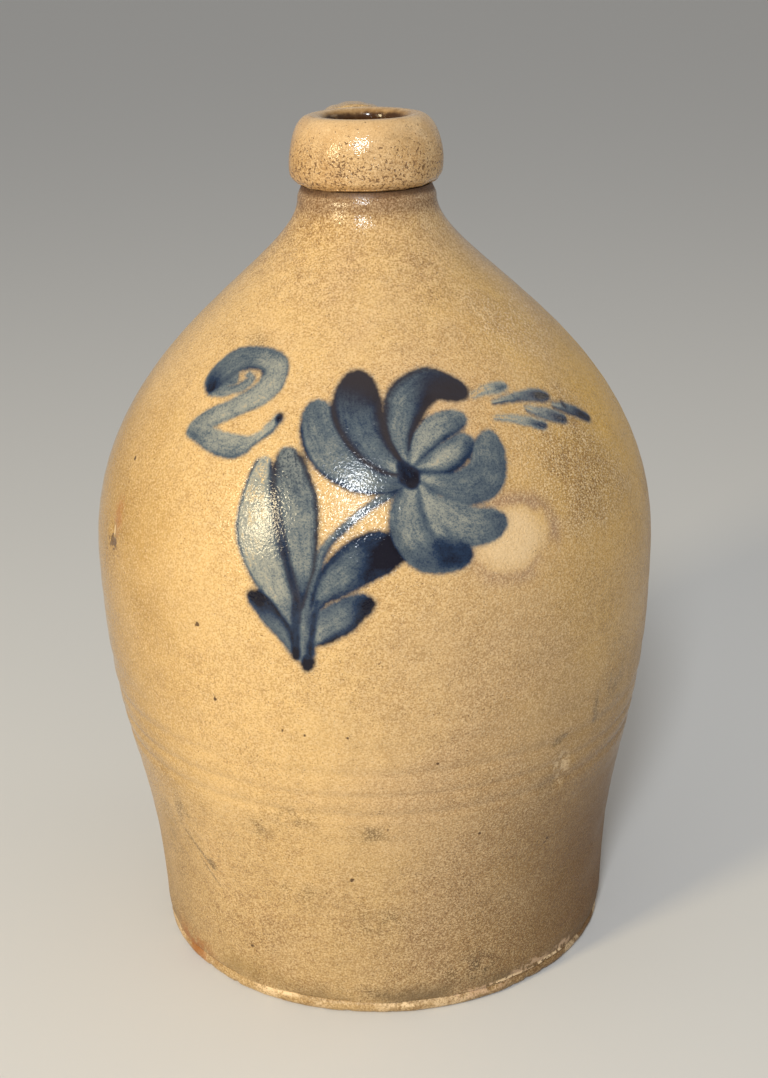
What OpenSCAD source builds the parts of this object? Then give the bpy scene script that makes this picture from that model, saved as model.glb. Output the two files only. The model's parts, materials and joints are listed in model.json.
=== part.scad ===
// Two-gallon stoneware jug: a thrown and luted clay body with a rolled lip collar, a strap handle,
// a brown slip lining and brushed cobalt slip decoration.
// The origin is the middle of the underside, +Z is up, the decorated front faces -Y and the
// handle stands at +Y.

/* [Foot] */
// Radius of the foot slab at its top
foot_r = 96; // [80:0.5:105]
// Height of the foot slab, which is the thickness of the floor
foot_h = 10; // [8.5:0.5:14]
// Height of the bead round the foot
bead_h = 6; // [4:0.5:7]
// How far the bead stands back from the radius of the foot slab
bead_set = 0.4; // [0:0.1:1]
// Depth of the line cut above the bead
bead_line = 1.2; // [0.5:0.1:2]

/* [Wall] */
// Thickness of the thrown wall
wall_t = 7.5; // [6:0.5:10]
// Radius of the cove where the wall meets the floor inside
cove_r = 12; // [6:1:20]
// Largest radius of the belly
belly_r = 113.5; // [106:0.5:124]
// Height of the widest place, where the two thrown sections are luted
belly_z = 170; // [150:1:190]
// How far the wall leans outward while it leaves the foot
foot_lean = 2; // [0:0.5:8]
// How far the lower curve runs straight up from the foot
foot_pull = 81; // [50:1:90]
// How far the belly's curve reaches down
belly_drop = 85; // [50:1:95]
// How far the belly's curve reaches up
belly_lift = 82; // [60:1:90]
// Radius of the neck at the end of the shoulder
neck_r = 27; // [25:0.5:30]
// Height of the end of the shoulder
neck_z = 309; // [300:1:320]
// How far the neck's curve reaches down
neck_drop = 25; // [15:1:35]
// Height of the short neck above the shoulder, up to the collar
neck_h = 5; // [3:0.5:8]
// How far the neck narrows under the collar
neck_cove = 1.7; // [0.5:0.1:2.5]
// Width of the ridge that keys each luted joint
lute_w = 3; // [2:0.5:3.5]
// Height of the ridge that keys each luted joint
lute_h = 2; // [1:0.5:3]

/* [Lip collar] */
// Radius of the straight throat, which takes the stopper
throat_r = 15.5; // [13:0.5:17]
// Height of the collar from its underside to its rim
lip_h = 26; // [22:0.5:32]
// Largest radius of the collar
lip_r = 30.2; // [28.5:0.1:34]
// Height of the collar's widest place above its underside
lip_wide_h = 8; // [6:0.5:12]
// Radius of the rim's crest
crest_r = 21; // [19:0.5:23]
// Height of the flare below the throat
flare_h = 4; // [2:0.5:6]
// Depth of the rounding from the crest into the throat
mouth_round = 5; // [3:0.5:7]
// How far the collar's lower edge stands over the neck
lip_overhang = 0.9; // [0.4:0.1:2]

/* [Handle] */
// Width of the strap at the collar
strap_w = 24; // [18:0.5:30]
// Width of the strap where it is pressed on the shoulder
strap_foot_w = 36; // [28:0.5:44]
// Thickness of the strap
strap_t = 11.5; // [8:0.5:13]
// Thickness of the strap at its landing
strap_foot_t = 10; // [7:0.5:12]
// How far the middle of the strap's root lies below the rim
root_drop = 6.5; // [5.5:0.1:9]
// How far the strap's root is bedded in the collar
strap_bite = 8; // [5:0.5:10]
// How far the strap runs back from the collar before it turns down
strap_run = 28; // [20:1:36]
// How far the middle of the strap aims up along that run
strap_climb = 4.7; // [0:0.1:6]
// Distance from the axis that the strap's knee aims for
strap_reach = 97; // [88:1:100]
// Height that the knee aims for, above the strap's landing
strap_knee_h = 80; // [65:1:90]
// Height where the middle of the strap lands on the shoulder
landing_z = 246; // [240:1:252]
// How far out from the shoulder the middle of the strap is at its landing
landing_lift = 2; // [0:0.5:4]
// How far down the shoulder the tail below the landing is pressed
tail_run = 30; // [20:1:36]
// How deep the tail's end is sunk in the shoulder
tail_sink = 5.5; // [5:0.5:8]
// Length over which the tail bends away from the strap
tail_bend = 6; // [3:0.5:10]

/* [Slip lining] */
// Thickness of the brown slip inside
lining_t = 0.5; // [0.4:0.1:1]

/* [Cobalt decoration] */
// Thickness of a brushed stroke
slip_t = 0.4; // [0.3:0.1:0.8]
// Size of the flower, from its centre to the far petal's tip
flower_size = 50; // [36:1:54]
// Height of the flower's centre
flower_z = 227.5; // [215:0.5:235]
// Size of the leaves, from the foot of the stem to the tallest leaf's tip
leaf_size = 70; // [55:1:76]
// How far the foot of the stem lies below the flower's centre
leaf_drop = 64.5; // [55:0.5:70]
// How far round the belly the foot of the stem lies to the left of the flower's centre
leaf_side = 39.6; // [34:0.1:46]
// Size of the numeral, which is its height and also sets its width
numeral_size = 40; // [30:1:44]
// How far the numeral's middle lies above the flower's centre
numeral_rise = 19.5; // [12:0.5:24]
// How far round the belly the numeral's middle lies to the left of the flower's centre
numeral_side = 86.2; // [80:0.1:98]
// Size of the feather, from its fork to its last tip
feather_size = 50; // [36:1:56]
// How far the feather's fork lies above the flower's centre
feather_rise = 17.5; // [12:0.5:22]
// How far round the belly the feather's fork lies to the right of the flower's centre
feather_side = 50.5; // [44:0.1:60]

/* [Hidden] */
$fn = 96;

// Steps along each curve
wall_steps = 26;
lip_steps = 8;
cove_steps = 8;
strap_steps = 22;
tail_steps = 10;
strap_sides = 18;
stroke_steps = 8;

// Heights that follow from the sizes above
collar_z = neck_z + neck_h;
rim_z = collar_z + lip_h;
neck_bore_r = neck_r - wall_t;
neck_top_r = neck_r - neck_cove;

// The bead's arc, from its tucked underside to the line above it
bead_arc = [-75, 50];

// Shape of the collar's section, as shares of its radii and heights
lip_belly_share = 0.9;
lip_edge_share = 0.2;
lip_round_share = 0.5;
rim_out_share = 0.55;

// Squareness of the strap's section, and how its root and its tail are pressed
strap_square_share = 0.85;
root_press_share = 0.6;
press_run_share = 0.06;
foot_spread_power = 4;
tail_narrow_share = 0.35;
tail_thin_share = 0.3;
tail_ease_share = 0.45;

// How blunt a stroke's ends are, and the reach of a slope reading
blunt_share = 0.25;
reach_share = 0.03;
slope_reach_share = 0.125;
slope_reach = slope_reach_share * wall_t;

// Strokes, as rows of [across, up, width] in shares of the motif's size from its own centre
petal_shares = [
    [[-0.03, -0.03, 0.05], [-0.15, -0.05, 0.11], [-0.44, 0.02, 0.23],
     [-0.70, 0.19, 0.29], [-0.84, 0.42, 0.24]],
    [[-0.03, 0.03, 0.06], [-0.16, 0.09, 0.17], [-0.30, 0.20, 0.26],
     [-0.43, 0.40, 0.35], [-0.43, 0.59, 0.33]],
    [[0.01, 0.04, 0.05], [-0.04, 0.25, 0.18], [0.05, 0.43, 0.29],
     [0.19, 0.50, 0.28], [0.37, 0.53, 0.24], [0.67, 0.46, 0.15]],
    [[0.04, 0.06, 0.04], [0.11, 0.14, 0.11], [0.21, 0.22, 0.18],
     [0.35, 0.28, 0.19], [0.57, 0.31, 0.13]],
    [[0.06, 0.04, 0.04], [0.17, 0.05, 0.11], [0.31, 0.07, 0.19],
     [0.44, 0.12, 0.19], [0.58, 0.17, 0.13]],
    [[0.08, -0.01, 0.05], [0.36, -0.10, 0.19], [0.52, -0.10, 0.26],
     [0.67, -0.04, 0.28], [0.79, 0.18, 0.20]],
    [[0.07, -0.06, 0.05], [0.15, -0.17, 0.12], [0.26, -0.26, 0.19],
     [0.39, -0.34, 0.26], [0.52, -0.37, 0.25], [0.71, -0.36, 0.18]],
    [[0.03, -0.07, 0.10], [-0.03, -0.18, 0.19], [-0.03, -0.30, 0.26],
     [0.02, -0.42, 0.27], [0.13, -0.51, 0.26], [0.39, -0.54, 0.19]],
    [[-0.06, 0.08, 0.04], [-0.02, 0.03, 0.10], [0.01, -0.01, 0.14], [0.03, -0.06, 0.12]]
];
leaf_shares = [
    [[0.47, 0.85, 0.03], [0.33, 0.79, 0.03], [0.20, 0.70, 0.03], [0.11, 0.62, 0.03], [0.06, 0.52, 0.04],
     [0.03, 0.38, 0.05], [0.01, 0.13, 0.04], [0, 0.05, 0.04]],
    [[-0.07, 0.16, 0.03], [-0.12, 0.32, 0.12], [-0.19, 0.45, 0.19], [-0.25, 0.56, 0.22],
     [-0.30, 0.69, 0.22], [-0.32, 0.89, 0.13], [-0.31, 0.98, 0.07]],
    [[-0.03, 0.30, 0.02], [-0.02, 0.42, 0.07], [-0.03, 0.54, 0.15],
     [-0.07, 0.77, 0.21], [-0.11, 0.87, 0.20], [-0.18, 1.02, 0.13]],
    [[0.04, 0.29, 0.03], [0.09, 0.38, 0.10], [0.17, 0.46, 0.18],
     [0.27, 0.53, 0.22], [0.36, 0.57, 0.22], [0.47, 0.59, 0.20]],
    [[0.03, 0.14, 0.11], [0.11, 0.21, 0.16], [0.19, 0.26, 0.16],
     [0.26, 0.31, 0.12], [0.33, 0.33, 0.09]],
    [[-0.08, 0.07, 0.03], [-0.12, 0.16, 0.08], [-0.18, 0.23, 0.10],
     [-0.23, 0.29, 0.10], [-0.30, 0.34, 0.07]],
    [[-0.06, 0.15, 0.02], [-0.06, 0.09, 0.03], [-0.06, 0.03, 0.04]],
    [[0, 0.03, 0.05], [0, 0, 0.06], [-0.01, -0.03, 0.05]]
];
feather_shares = [
    [[-0.24, 0.08, 0.03], [-0.08, 0.10, 0.06], [0.07, 0.10, 0.08], [0.18, 0.10, 0.04]],
    [[-0.05, 0.02, 0.02], [0.26, 0.02, 0.06], [0.41, 0.01, 0.08],
     [0.54, -0.01, 0.09], [0.64, -0.03, 0.05]],
    [[0.65, -0.09, 0.03], [0.77, -0.13, 0.06], [0.90, -0.18, 0.08], [1.06, -0.26, 0.06]],
    [[0.30, -0.06, 0.03], [0.41, -0.10, 0.06], [0.54, -0.14, 0.09], [0.71, -0.20, 0.06]],
    [[-0.10, -0.07, 0.02], [0.04, -0.09, 0.04], [0.18, -0.12, 0.06], [0.41, -0.19, 0.06]]
];
numeral_shares = [
    [[-0.01, 0.22, 0.03], [0.08, 0.19, 0.06], [0, 0.13, 0.08],
     [-0.12, 0.09, 0.07], [-0.28, 0.06, 0.09], [-0.47, 0.06, 0.13]],
    [[-0.51, 0.05, 0.15], [-0.53, 0.13, 0.22], [-0.45, 0.22, 0.26],
     [-0.30, 0.30, 0.26], [-0.06, 0.34, 0.22],
     [0.20, 0.34, 0.22], [0.38, 0.30, 0.24], [0.44, 0.22, 0.24]],
    [[0.42, 0.30, 0.22], [0.43, 0.21, 0.24], [0.33, 0.10, 0.22],
     [0.13, 0.01, 0.19], [-0.07, -0.07, 0.18],
     [-0.25, -0.14, 0.19], [-0.41, -0.23, 0.18], [-0.51, -0.30, 0.10]],
    [[-0.48, -0.27, 0.09], [-0.21, -0.30, 0.17], [0.02, -0.32, 0.21],
     [0.22, -0.32, 0.20], [0.38, -0.27, 0.10],
     [0.48, -0.22, 0.07], [0.58, -0.15, 0.08], [0.66, -0.07, 0.05]]
];

// A cubic curve and its direction
function curve(p, t) = p[0] * pow(1 - t, 3) + 3 * p[1] * t * pow(1 - t, 2) + 3 * p[2] * t * t * (1 - t)
    + p[3] * pow(t, 3);
function heading(p, t) =
    let (d = (p[1] - p[0]) * pow(1 - t, 2) + 2 * (p[2] - p[1]) * t * (1 - t) + (p[3] - p[2]) * t * t)
    d / norm(d);

// Points of a curve in the [radius, height] plane, moved inward by a depth
function inset(p, depth, steps) = [for (i = [0:steps])
    let (t = i / steps, d = heading(p, t)) curve(p, t) + depth * [-d[1], d[0]]];

lower_curve = [[foot_r, foot_h], [foot_r + foot_lean, foot_h + foot_pull],
               [belly_r, belly_z - belly_drop], [belly_r, belly_z]];
upper_curve = [[belly_r, belly_z], [belly_r, belly_z + belly_lift],
               [neck_r, neck_z - neck_drop], [neck_r, neck_z]];
lower_outside = inset(lower_curve, 0, wall_steps);
upper_outside = inset(upper_curve, 0, wall_steps);

function backwards(points) = [for (i = [len(points) - 1:-1:0]) points[i]];
function after_first(points) = [for (i = [1:len(points) - 1]) points[i]];

// The cove inside the foot, on the wall's inner face or on the lining's
function radius_at(points, z) = lookup(z, [for (p = points) [p[1], p[0]]]);
cove_wall_r = radius_at(inset(lower_curve, wall_t, wall_steps), foot_h + cove_r);
cove_mid = [cove_wall_r - cove_r, foot_h + cove_r];
function cove(depth) = [for (i = [0:cove_steps])
    let (a = 90 * i / cove_steps) cove_mid + (cove_r - depth) * [sin(a), -cos(a)]];
function lower_inside(depth) = concat(cove(depth - wall_t),
    [for (p = inset(lower_curve, depth, wall_steps)) if (p[1] > cove_mid[1] + slope_reach) p]);

// Ridge of a luted joint on a face at height z, listed from the outside in
function lute_ridge(middle_r, z) =
    [[middle_r + lute_w / 2, z], [middle_r, z + lute_h], [middle_r - lute_w / 2, z]];
foot_lute = lute_ridge(foot_r - wall_t, foot_h);
belly_lute = lute_ridge(belly_r - wall_t / 2, belly_z);
neck_lute = lute_ridge((neck_top_r + neck_bore_r) / 2, collar_z);

// The collar's outline from its lower edge to the crest, and from the crest into the throat
lip_outside = concat(
    inset([[neck_top_r + lip_overhang, collar_z],
           [neck_top_r + lip_overhang + lip_belly_share * (lip_r - neck_top_r - lip_overhang),
            collar_z + lip_edge_share * lip_wide_h],
           [lip_r, collar_z + lip_round_share * lip_wide_h],
           [lip_r, collar_z + lip_wide_h]], 0, lip_steps),
    [for (i = [1:lip_steps]) curve([[lip_r, collar_z + lip_wide_h],
           [lip_r, collar_z + lip_wide_h + lip_round_share * (lip_h - lip_wide_h)],
           [crest_r + rim_out_share * (lip_r - crest_r), rim_z],
           [crest_r, rim_z]], i / lip_steps)]);
mouth_arc = [for (i = [1:lip_steps])
    let (a = 90 * i / lip_steps)
    [crest_r - (crest_r - throat_r) * sin(a), rim_z - mouth_round * (1 - cos(a))]];

// The outside wall from foot to neck, at a height above its surface
function wall_skin(lift) = concat(inset(lower_curve, -lift, wall_steps),
    after_first(inset(upper_curve, -lift, wall_steps)));
outside_wall = wall_skin(0);
function wall_r(z) = radius_at(outside_wall, z);
function wall_lean(z) = (wall_r(z + slope_reach) - wall_r(z - slope_reach)) / (2 * slope_reach);

module foot_outline() {
    bead_mid = [foot_r - bead_set - bead_h / 2, bead_h / 2];
    bead = [for (i = [0:cove_steps])
        let (a = bead_arc[0] + (bead_arc[1] - bead_arc[0]) * i / cove_steps)
        bead_mid + bead_h / 2 * [cos(a), sin(a)]];
    polygon(concat([[0, 0], [bead[0][0], 0]], bead,
        [[foot_r - bead_line, bead_h], [foot_r, bead_h + bead_line], [foot_r, foot_h]],
        foot_lute, [[0, foot_h]]));
}

module lower_outline() {
    polygon(concat(lower_outside, belly_lute, backwards(lower_inside(wall_t)), backwards(foot_lute)));
}

module shoulder_outline() {
    polygon(concat(upper_outside, [[neck_top_r, collar_z]], neck_lute,
        [[neck_bore_r, collar_z]], backwards(inset(upper_curve, wall_t, wall_steps)),
        backwards(belly_lute)));
}

module collar_outline() {
    polygon(concat(lip_outside, mouth_arc, [[throat_r, collar_z + flare_h],
        [neck_bore_r - lining_t, collar_z]], backwards(neck_lute)));
}

function lined_side(depth) = concat(lower_inside(depth),
    after_first(inset(upper_curve, depth, wall_steps)));
module lining_outline() {
    polygon(concat([[0, foot_h]], lined_side(wall_t), [[neck_bore_r, collar_z]],
        [[neck_bore_r - lining_t, collar_z]], backwards(lined_side(wall_t + lining_t)),
        [[0, foot_h + lining_t]]));
}

// The jug's clay filled solid, for trimming what is pressed on from outside
module filled_clay() {
    rotate_extrude() polygon(concat([[0, belly_z]], upper_outside,
        [[neck_top_r, collar_z]], lip_outside, [[0, rim_z]]));
}

// A closed skin over rings that hold equal numbers of points
module skin(rings) {
    n = len(rings[0]);
    last = (len(rings) - 1) * n;
    sides = [for (i = [0:len(rings) - 2], j = [0:n - 1])
        let (a = i * n + j, b = i * n + (j + 1) % n) each [[a, b, b + n], [a, b + n, a + n]]];
    caps = [for (j = [1:n - 2]) each [[0, j + 1, j], [last, last + j, last + j + 1]]];
    polyhedron([for (ring = rings) each ring], concat(sides, caps));
}

// The strap's middle line in the [distance back, height] plane, from its root to its landing and
// then down the tail that is pressed along the shoulder
strap_root = [lip_r - strap_bite, rim_z - root_drop];
landing = [wall_r(landing_z) + landing_lift, landing_z];
strap_curve = [strap_root, strap_root + [strap_run, strap_climb],
               [strap_reach, landing_z + strap_knee_h], landing];
tail_z = landing_z - tail_run;
tail_end = [wall_r(tail_z) - tail_sink, tail_z];
tail_way = [-wall_lean(tail_z), -1] / norm([wall_lean(tail_z), 1]);
tail_curve = [landing, landing + tail_bend * heading(strap_curve, 1),
              tail_end - tail_ease_share * tail_run * tail_way, tail_end];

// A ring of the strap across its middle line, with its width and its thickness
function powered(x, power) = sign(x) * pow(abs(x), power);
function strap_ring(line, t, w, thick) =
    let (c = curve(line, t), d = heading(line, t))
    [for (i = [0:strap_sides - 1])
        let (a = 360 * i / strap_sides, x = w / 2 * powered(cos(a), strap_square_share),
             s = thick / 2 * sin(a))
        [x, c[0] - d[1] * s, c[1] + d[0] * s]];
strap_rings = concat(
    [for (k = [0:strap_steps])
        let (t = k / strap_steps,
             press = min(1, root_press_share + (1 - root_press_share) * t / press_run_share))
        strap_ring(strap_curve, t, strap_w + (strap_foot_w - strap_w) * pow(t, foot_spread_power),
                   (strap_t + (strap_foot_t - strap_t) * t) * press)],
    [for (k = [1:tail_steps])
        let (t = k / tail_steps)
        strap_ring(tail_curve, t, strap_foot_w * (1 - tail_narrow_share * t * t),
                   strap_foot_t * (1 - tail_thin_share * t))]);

// Rows between the given ones, on a smooth line through them all
function between(rows, s) =
    let (n = len(rows) - 1, i = min(floor(s * n), n - 1), t = s * n - i,
         a = rows[max(i - 1, 0)], b = rows[i], c = rows[i + 1], d = rows[min(i + 2, n)])
    (2 * b + (c - a) * t + (2 * a - 5 * b + 4 * c - d) * t * t + (3 * b - a - 3 * c + d) * pow(t, 3)) / 2;

// Half the width of a stroke at a distance from a tip of half-width r
function round_end(half, r, distance) =
    distance >= r ? half : min(half, max(blunt_share * r, sqrt(r * r - pow(r - distance, 2))));
function flat(row) = [row[0], row[1]];

// The two edges of a stroke at share s of its run, seen square on to the motif
function stroke_edges(rows, size, z, s) =
    let (p = between(rows, s) * size, first = rows[0] * size, last = rows[len(rows) - 1] * size,
         behind = between(rows, max(0, s - reach_share)) * size,
         ahead = between(rows, min(1, s + reach_share)) * size,
         half = round_end(round_end(p[2] / 2, first[2] / 2, norm(flat(p - first))),
                          last[2] / 2, norm(flat(p - last))),
         girth = wall_r(z + p[1]) / belly_r, rise = norm([1, wall_lean(z + p[1])]),
         way = [(ahead[0] - behind[0]) * girth, (ahead[1] - behind[1]) * rise],
         side = [-way[1] / girth, way[0] / rise] * half / norm(way))
    [for (q = [1, -1])
        let (across = p[0] + q * side[0], up = z + p[1] + q * side[1])
        [wall_r(up) * sin(across / belly_r * 180 / PI), up]];

// Strokes as a thin coat on the wall. The side and across are measured round the belly, to the
// right of the front, and up is a height.
module strokes(table, size, side, z) {
    rotate([0, 0, side / belly_r * 180 / PI]) intersection() {
        rotate_extrude() polygon(concat(outside_wall, backwards(wall_skin(slip_t))));
        rotate([90, 0, 0]) linear_extrude(height = 2 * belly_r) for (rows = table) {
            steps = max(stroke_steps, 2 * len(rows));
            edges = [for (k = [0:steps]) stroke_edges(rows, size, z, (1 - cos(180 * k / steps)) / 2)];
            polygon(concat([for (e = edges) e[0]], backwards([for (e = edges) e[1]])));
        }
    }
}

module foot_slab() {
    color("tan") rotate_extrude() foot_outline();
}

module lower_wall() {
    color("burlywood") rotate_extrude() lower_outline();
}

module shoulder_wall() {
    color("burlywood") rotate_extrude() shoulder_outline();
}

module lip_collar() {
    color("sandybrown") rotate_extrude() collar_outline();
}

module handle_strap() {
    color("peru") difference() {
        skin(strap_rings);
        filled_clay();
    }
}

module slip_lining() {
    color("saddlebrown") rotate_extrude() lining_outline();
}

module cobalt_petals() {
    color("slategray") strokes(petal_shares, flower_size, 0, flower_z);
}

module cobalt_leaves() {
    color("darkslategray") strokes(leaf_shares, leaf_size, -leaf_side, flower_z - leaf_drop);
}

module cobalt_feather() {
    color("slategray") strokes(feather_shares, feather_size, feather_side, flower_z + feather_rise);
}

module cobalt_numeral() {
    color("steelblue") strokes(numeral_shares, numeral_size, -numeral_side, flower_z + numeral_rise);
}

foot_slab();
lower_wall();
shoulder_wall();
lip_collar();
handle_strap();
slip_lining();
cobalt_petals();
cobalt_leaves();
cobalt_feather();
cobalt_numeral();
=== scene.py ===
"""Two-gallon stoneware jug: thrown and luted clay, salt glaze, brown slip and brushed cobalt."""
import json
import math
from functools import cached_property

import bmesh
import bpy
import numpy as np
from bpy.props import FloatProperty, FloatVectorProperty, IntProperty, PointerProperty
from mathutils import Matrix, Vector, noise

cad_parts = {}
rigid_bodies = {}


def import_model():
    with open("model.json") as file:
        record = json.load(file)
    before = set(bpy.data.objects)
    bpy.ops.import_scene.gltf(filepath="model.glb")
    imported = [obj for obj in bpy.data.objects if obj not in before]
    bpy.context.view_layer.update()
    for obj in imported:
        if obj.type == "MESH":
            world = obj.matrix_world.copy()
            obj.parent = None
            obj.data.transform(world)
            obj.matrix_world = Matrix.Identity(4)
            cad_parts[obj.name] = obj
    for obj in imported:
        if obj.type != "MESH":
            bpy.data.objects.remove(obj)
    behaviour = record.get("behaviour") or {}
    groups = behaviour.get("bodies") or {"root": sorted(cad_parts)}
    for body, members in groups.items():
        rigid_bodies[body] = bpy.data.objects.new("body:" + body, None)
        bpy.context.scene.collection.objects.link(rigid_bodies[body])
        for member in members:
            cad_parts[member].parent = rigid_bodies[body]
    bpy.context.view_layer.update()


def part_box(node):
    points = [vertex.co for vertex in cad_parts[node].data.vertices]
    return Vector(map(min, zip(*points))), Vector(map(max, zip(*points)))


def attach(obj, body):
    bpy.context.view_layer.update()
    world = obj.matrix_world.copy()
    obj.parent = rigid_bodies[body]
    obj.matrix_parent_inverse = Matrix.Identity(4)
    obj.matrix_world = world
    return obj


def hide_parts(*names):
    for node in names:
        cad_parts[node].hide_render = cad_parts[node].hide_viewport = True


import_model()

bl_info = {
    "name": "Stoneware Jug",
    "version": (1, 0, 0),
    "blender": (4, 5, 0),
    "location": "View3D > Sidebar > Jug",
    "description": "Throws, glazes and decorates a salt-glazed stoneware jug over its solid parts",
    "category": "Mesh",
}

MM = 0.001
SHOULDER_LOW, SHOULDER_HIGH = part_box("shoulder_wall")
COLLAR_LOW, COLLAR_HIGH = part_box("lip_collar")
WALL_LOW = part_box("lower_wall")[0]


def length(name, description, default, low=0.0):
    """A size of the jug, in metres."""
    return FloatProperty(name=name, description=description, default=default, min=low,
                         unit="LENGTH", precision=4)


def colour(name, description, default):
    """A colour of the clay, the glaze or the stage."""
    return FloatVectorProperty(name=name, description=description, default=default, size=3,
                               subtype="COLOR", min=0.0, max=1.0)


def share(name, description, default, high=1.0):
    """A plain number from zero up."""
    return FloatProperty(name=name, description=description, default=default, min=0.0, max=high,
                         subtype="FACTOR" if high == 1.0 else "NONE")


class JugShape(bpy.types.PropertyGroup):
    """Sizes of the thrown clay"""
    belly_radius: length("Belly Radius", "Largest radius of the body", SHOULDER_HIGH.x)
    belly_height: length("Belly Height", "Height of the widest place and its joint", SHOULDER_LOW.z)
    floor_thickness: length("Floor Thickness", "Thickness of the foot slab", WALL_LOW.z)
    foot_radius: length("Foot Radius", "Radius of the foot slab at its top", 96 * MM)
    wall_thickness: length("Wall Thickness", "Thickness of the thrown wall", 7.5 * MM)
    neck_radius: length("Neck Radius", "Radius at the end of the shoulder", 27 * MM)
    neck_height: length("Neck Height", "Height of the end of the shoulder", 309 * MM)
    collar_height: length("Collar Height", "Height of the collar's underside", COLLAR_LOW.z)
    collar_radius: length("Collar Radius", "Largest radius of the collar", COLLAR_HIGH.x)
    rim_height: length("Rim Height", "Height of the rim", COLLAR_HIGH.z)
    crest_radius: length("Crest Radius", "Radius of the rim's crest", 21 * MM)
    throat_radius: length("Throat Radius", "Radius of the throat", 15.5 * MM)
    strap_width: length("Strap Width", "Width of the handle at the collar", 24 * MM)
    strap_thickness: length("Strap Thickness", "Thickness of the handle", 11.5 * MM)
    wobble: length("Hand Wobble", "How far the thrown walls wander from true", 0.5 * MM)
    ring_depth: length("Throwing Rings", "Depth of the finger rings on the wall", 0.44 * MM)
    turns: IntProperty(name="Turns", description="Faces round the body", default=384, min=24)


class JugGlaze(bpy.types.PropertyGroup):
    """Colours and texture of the salt glaze"""
    buff: colour("Buff", "The glaze over clean clay", (0.68, 0.45, 0.19))
    tan: colour("Tan", "The glaze where more iron came through", (0.575, 0.378, 0.19))
    amber: colour("Amber", "The browner glaze at the sides", (0.74, 0.435, 0.062))
    ash: colour("Ash", "Greyed patches away from the flame", (0.26, 0.175, 0.085))
    flush: colour("Neck Flush", "Pinkish grey under the collar", (0.255, 0.160, 0.105))
    iron: colour("Iron", "Specks and spots", (0.075, 0.035, 0.014))
    rust: colour("Rust", "Bare toasted clay at the foot", (0.33, 0.12, 0.024))
    pale: colour("Kiln Mark", "Pale mark where another pot stood close", (0.76, 0.56, 0.33))
    brown_slip: colour("Brown Slip", "The slip that lines the inside", (0.055, 0.024, 0.009))
    peel_depth: length("Orange Peel Depth", "Depth of the salt glaze's texture", 0.22 * MM)
    peel_size: length("Orange Peel Size", "Width of one dimple", 0.72 * MM)
    gloss: share("Glaze Roughness", "Roughness of the salt glaze", 0.125)


class JugCobalt(bpy.types.PropertyGroup):
    """Colours of the brushed cobalt slip"""
    wash: colour("Wash", "Thin slip", (0.285, 0.287, 0.245))
    slate: colour("Slate", "Slip of middling thickness", (0.088, 0.112, 0.132))
    navy: colour("Navy", "Thick slip", (0.012, 0.027, 0.062))
    ink: colour("Ink", "Slip where it pooled", (0.003, 0.003, 0.010))
    umber: colour("Umber", "Slip burnt brown by iron", (0.030, 0.0245, 0.0275))
    bleed: length("Bleed", "How far the painted slip ran beyond the brush", 0.45 * MM)
    lift: length("Coat Lift", "How far the painted coat lies over the glaze", 0.08 * MM)
    coat: length("Coat Thickness", "Thickness of the painted coat", 0.3 * MM)
    grid: length("Coat Grid", "Width of one face of the coat", 0.55 * MM)


class JugStage(bpy.types.PropertyGroup):
    """Floor, lamps and camera"""
    floor: colour("Floor", "Colour of the floor", (0.66, 0.66, 0.65))
    sky: share("Sky", "Strength of the even light from all round", 0.39, 4.0)
    window: share("Window", "Power of the tall cool lamp in front, in watts", 22.0, 100.0)
    key: share("Key", "Power of the warm lamp at the left, in watts", 13.6, 200.0)
    side: share("Side", "Power of the soft lamp at the right, in watts", 0.9, 100.0)
    lens: FloatProperty(name="Lens", description="Focal length of the camera", default=56.77,
                        min=10.0, subtype="DISTANCE_CAMERA")
    camera_place: FloatVectorProperty(name="Camera Place", description="Where the camera stands",
                                      size=3, subtype="TRANSLATION", unit="LENGTH",
                                      default=(-0.08218, -0.65326, 0.42188))
    camera_turn: FloatVectorProperty(name="Camera Turn", description="Heading, pitch and roll",
                                     size=3, subtype="EULER",
                                     default=(math.radians(7.481), math.radians(21.181),
                                              math.radians(-1.340)))


# Curves of the jug's section, in millimetres

BEAD_RADIUS, BEAD_INSET = 3.0, 0.4
KEY_HALF_WIDTH, KEY_HEIGHT = 1.5, 2.0
COVE_RADIUS, LINING_THICKNESS = 12.0, 0.5
NECK_TAPER = 1.7
MOUTH_DROP, MOUTH_ROUNDNESS, THROAT_LENGTH = 5.0, 0.625, 17.0
# The section's two curves: how far their control points stand from their ends
FOOT_LEAN, FOOT_RUN, BELLY_RUN_DOWN, BELLY_RUN_UP, NECK_RUN = 2, 81, 85, 82, 25
INSIDE_STEPS = 64


def bezier(points, t):
    """A point of a cubic curve and its direction there."""
    a, b, c, d = (Vector(p) for p in points)
    u = 1 - t
    place = a * u ** 3 + b * (3 * u * u * t) + c * (3 * u * t * t) + d * t ** 3
    way = (b - a) * u * u + (c - b) * (2 * u * t) + (d - c) * t * t
    return place, way.normalized()


def side_of(points, steps, inset=0.0):
    """Points along a curve of the section, moved inward by a depth."""
    out = []
    for i in range(steps + 1):
        place, way = bezier(points, i / steps)
        out.append((place.x - inset * way.y, place.y + inset * way.x))
    return out


def arc(start, end, steps):
    """Even steps from one angle to another, given in degrees."""
    return [math.radians(start + (end - start) * i / steps) for i in range(steps + 1)]


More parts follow.
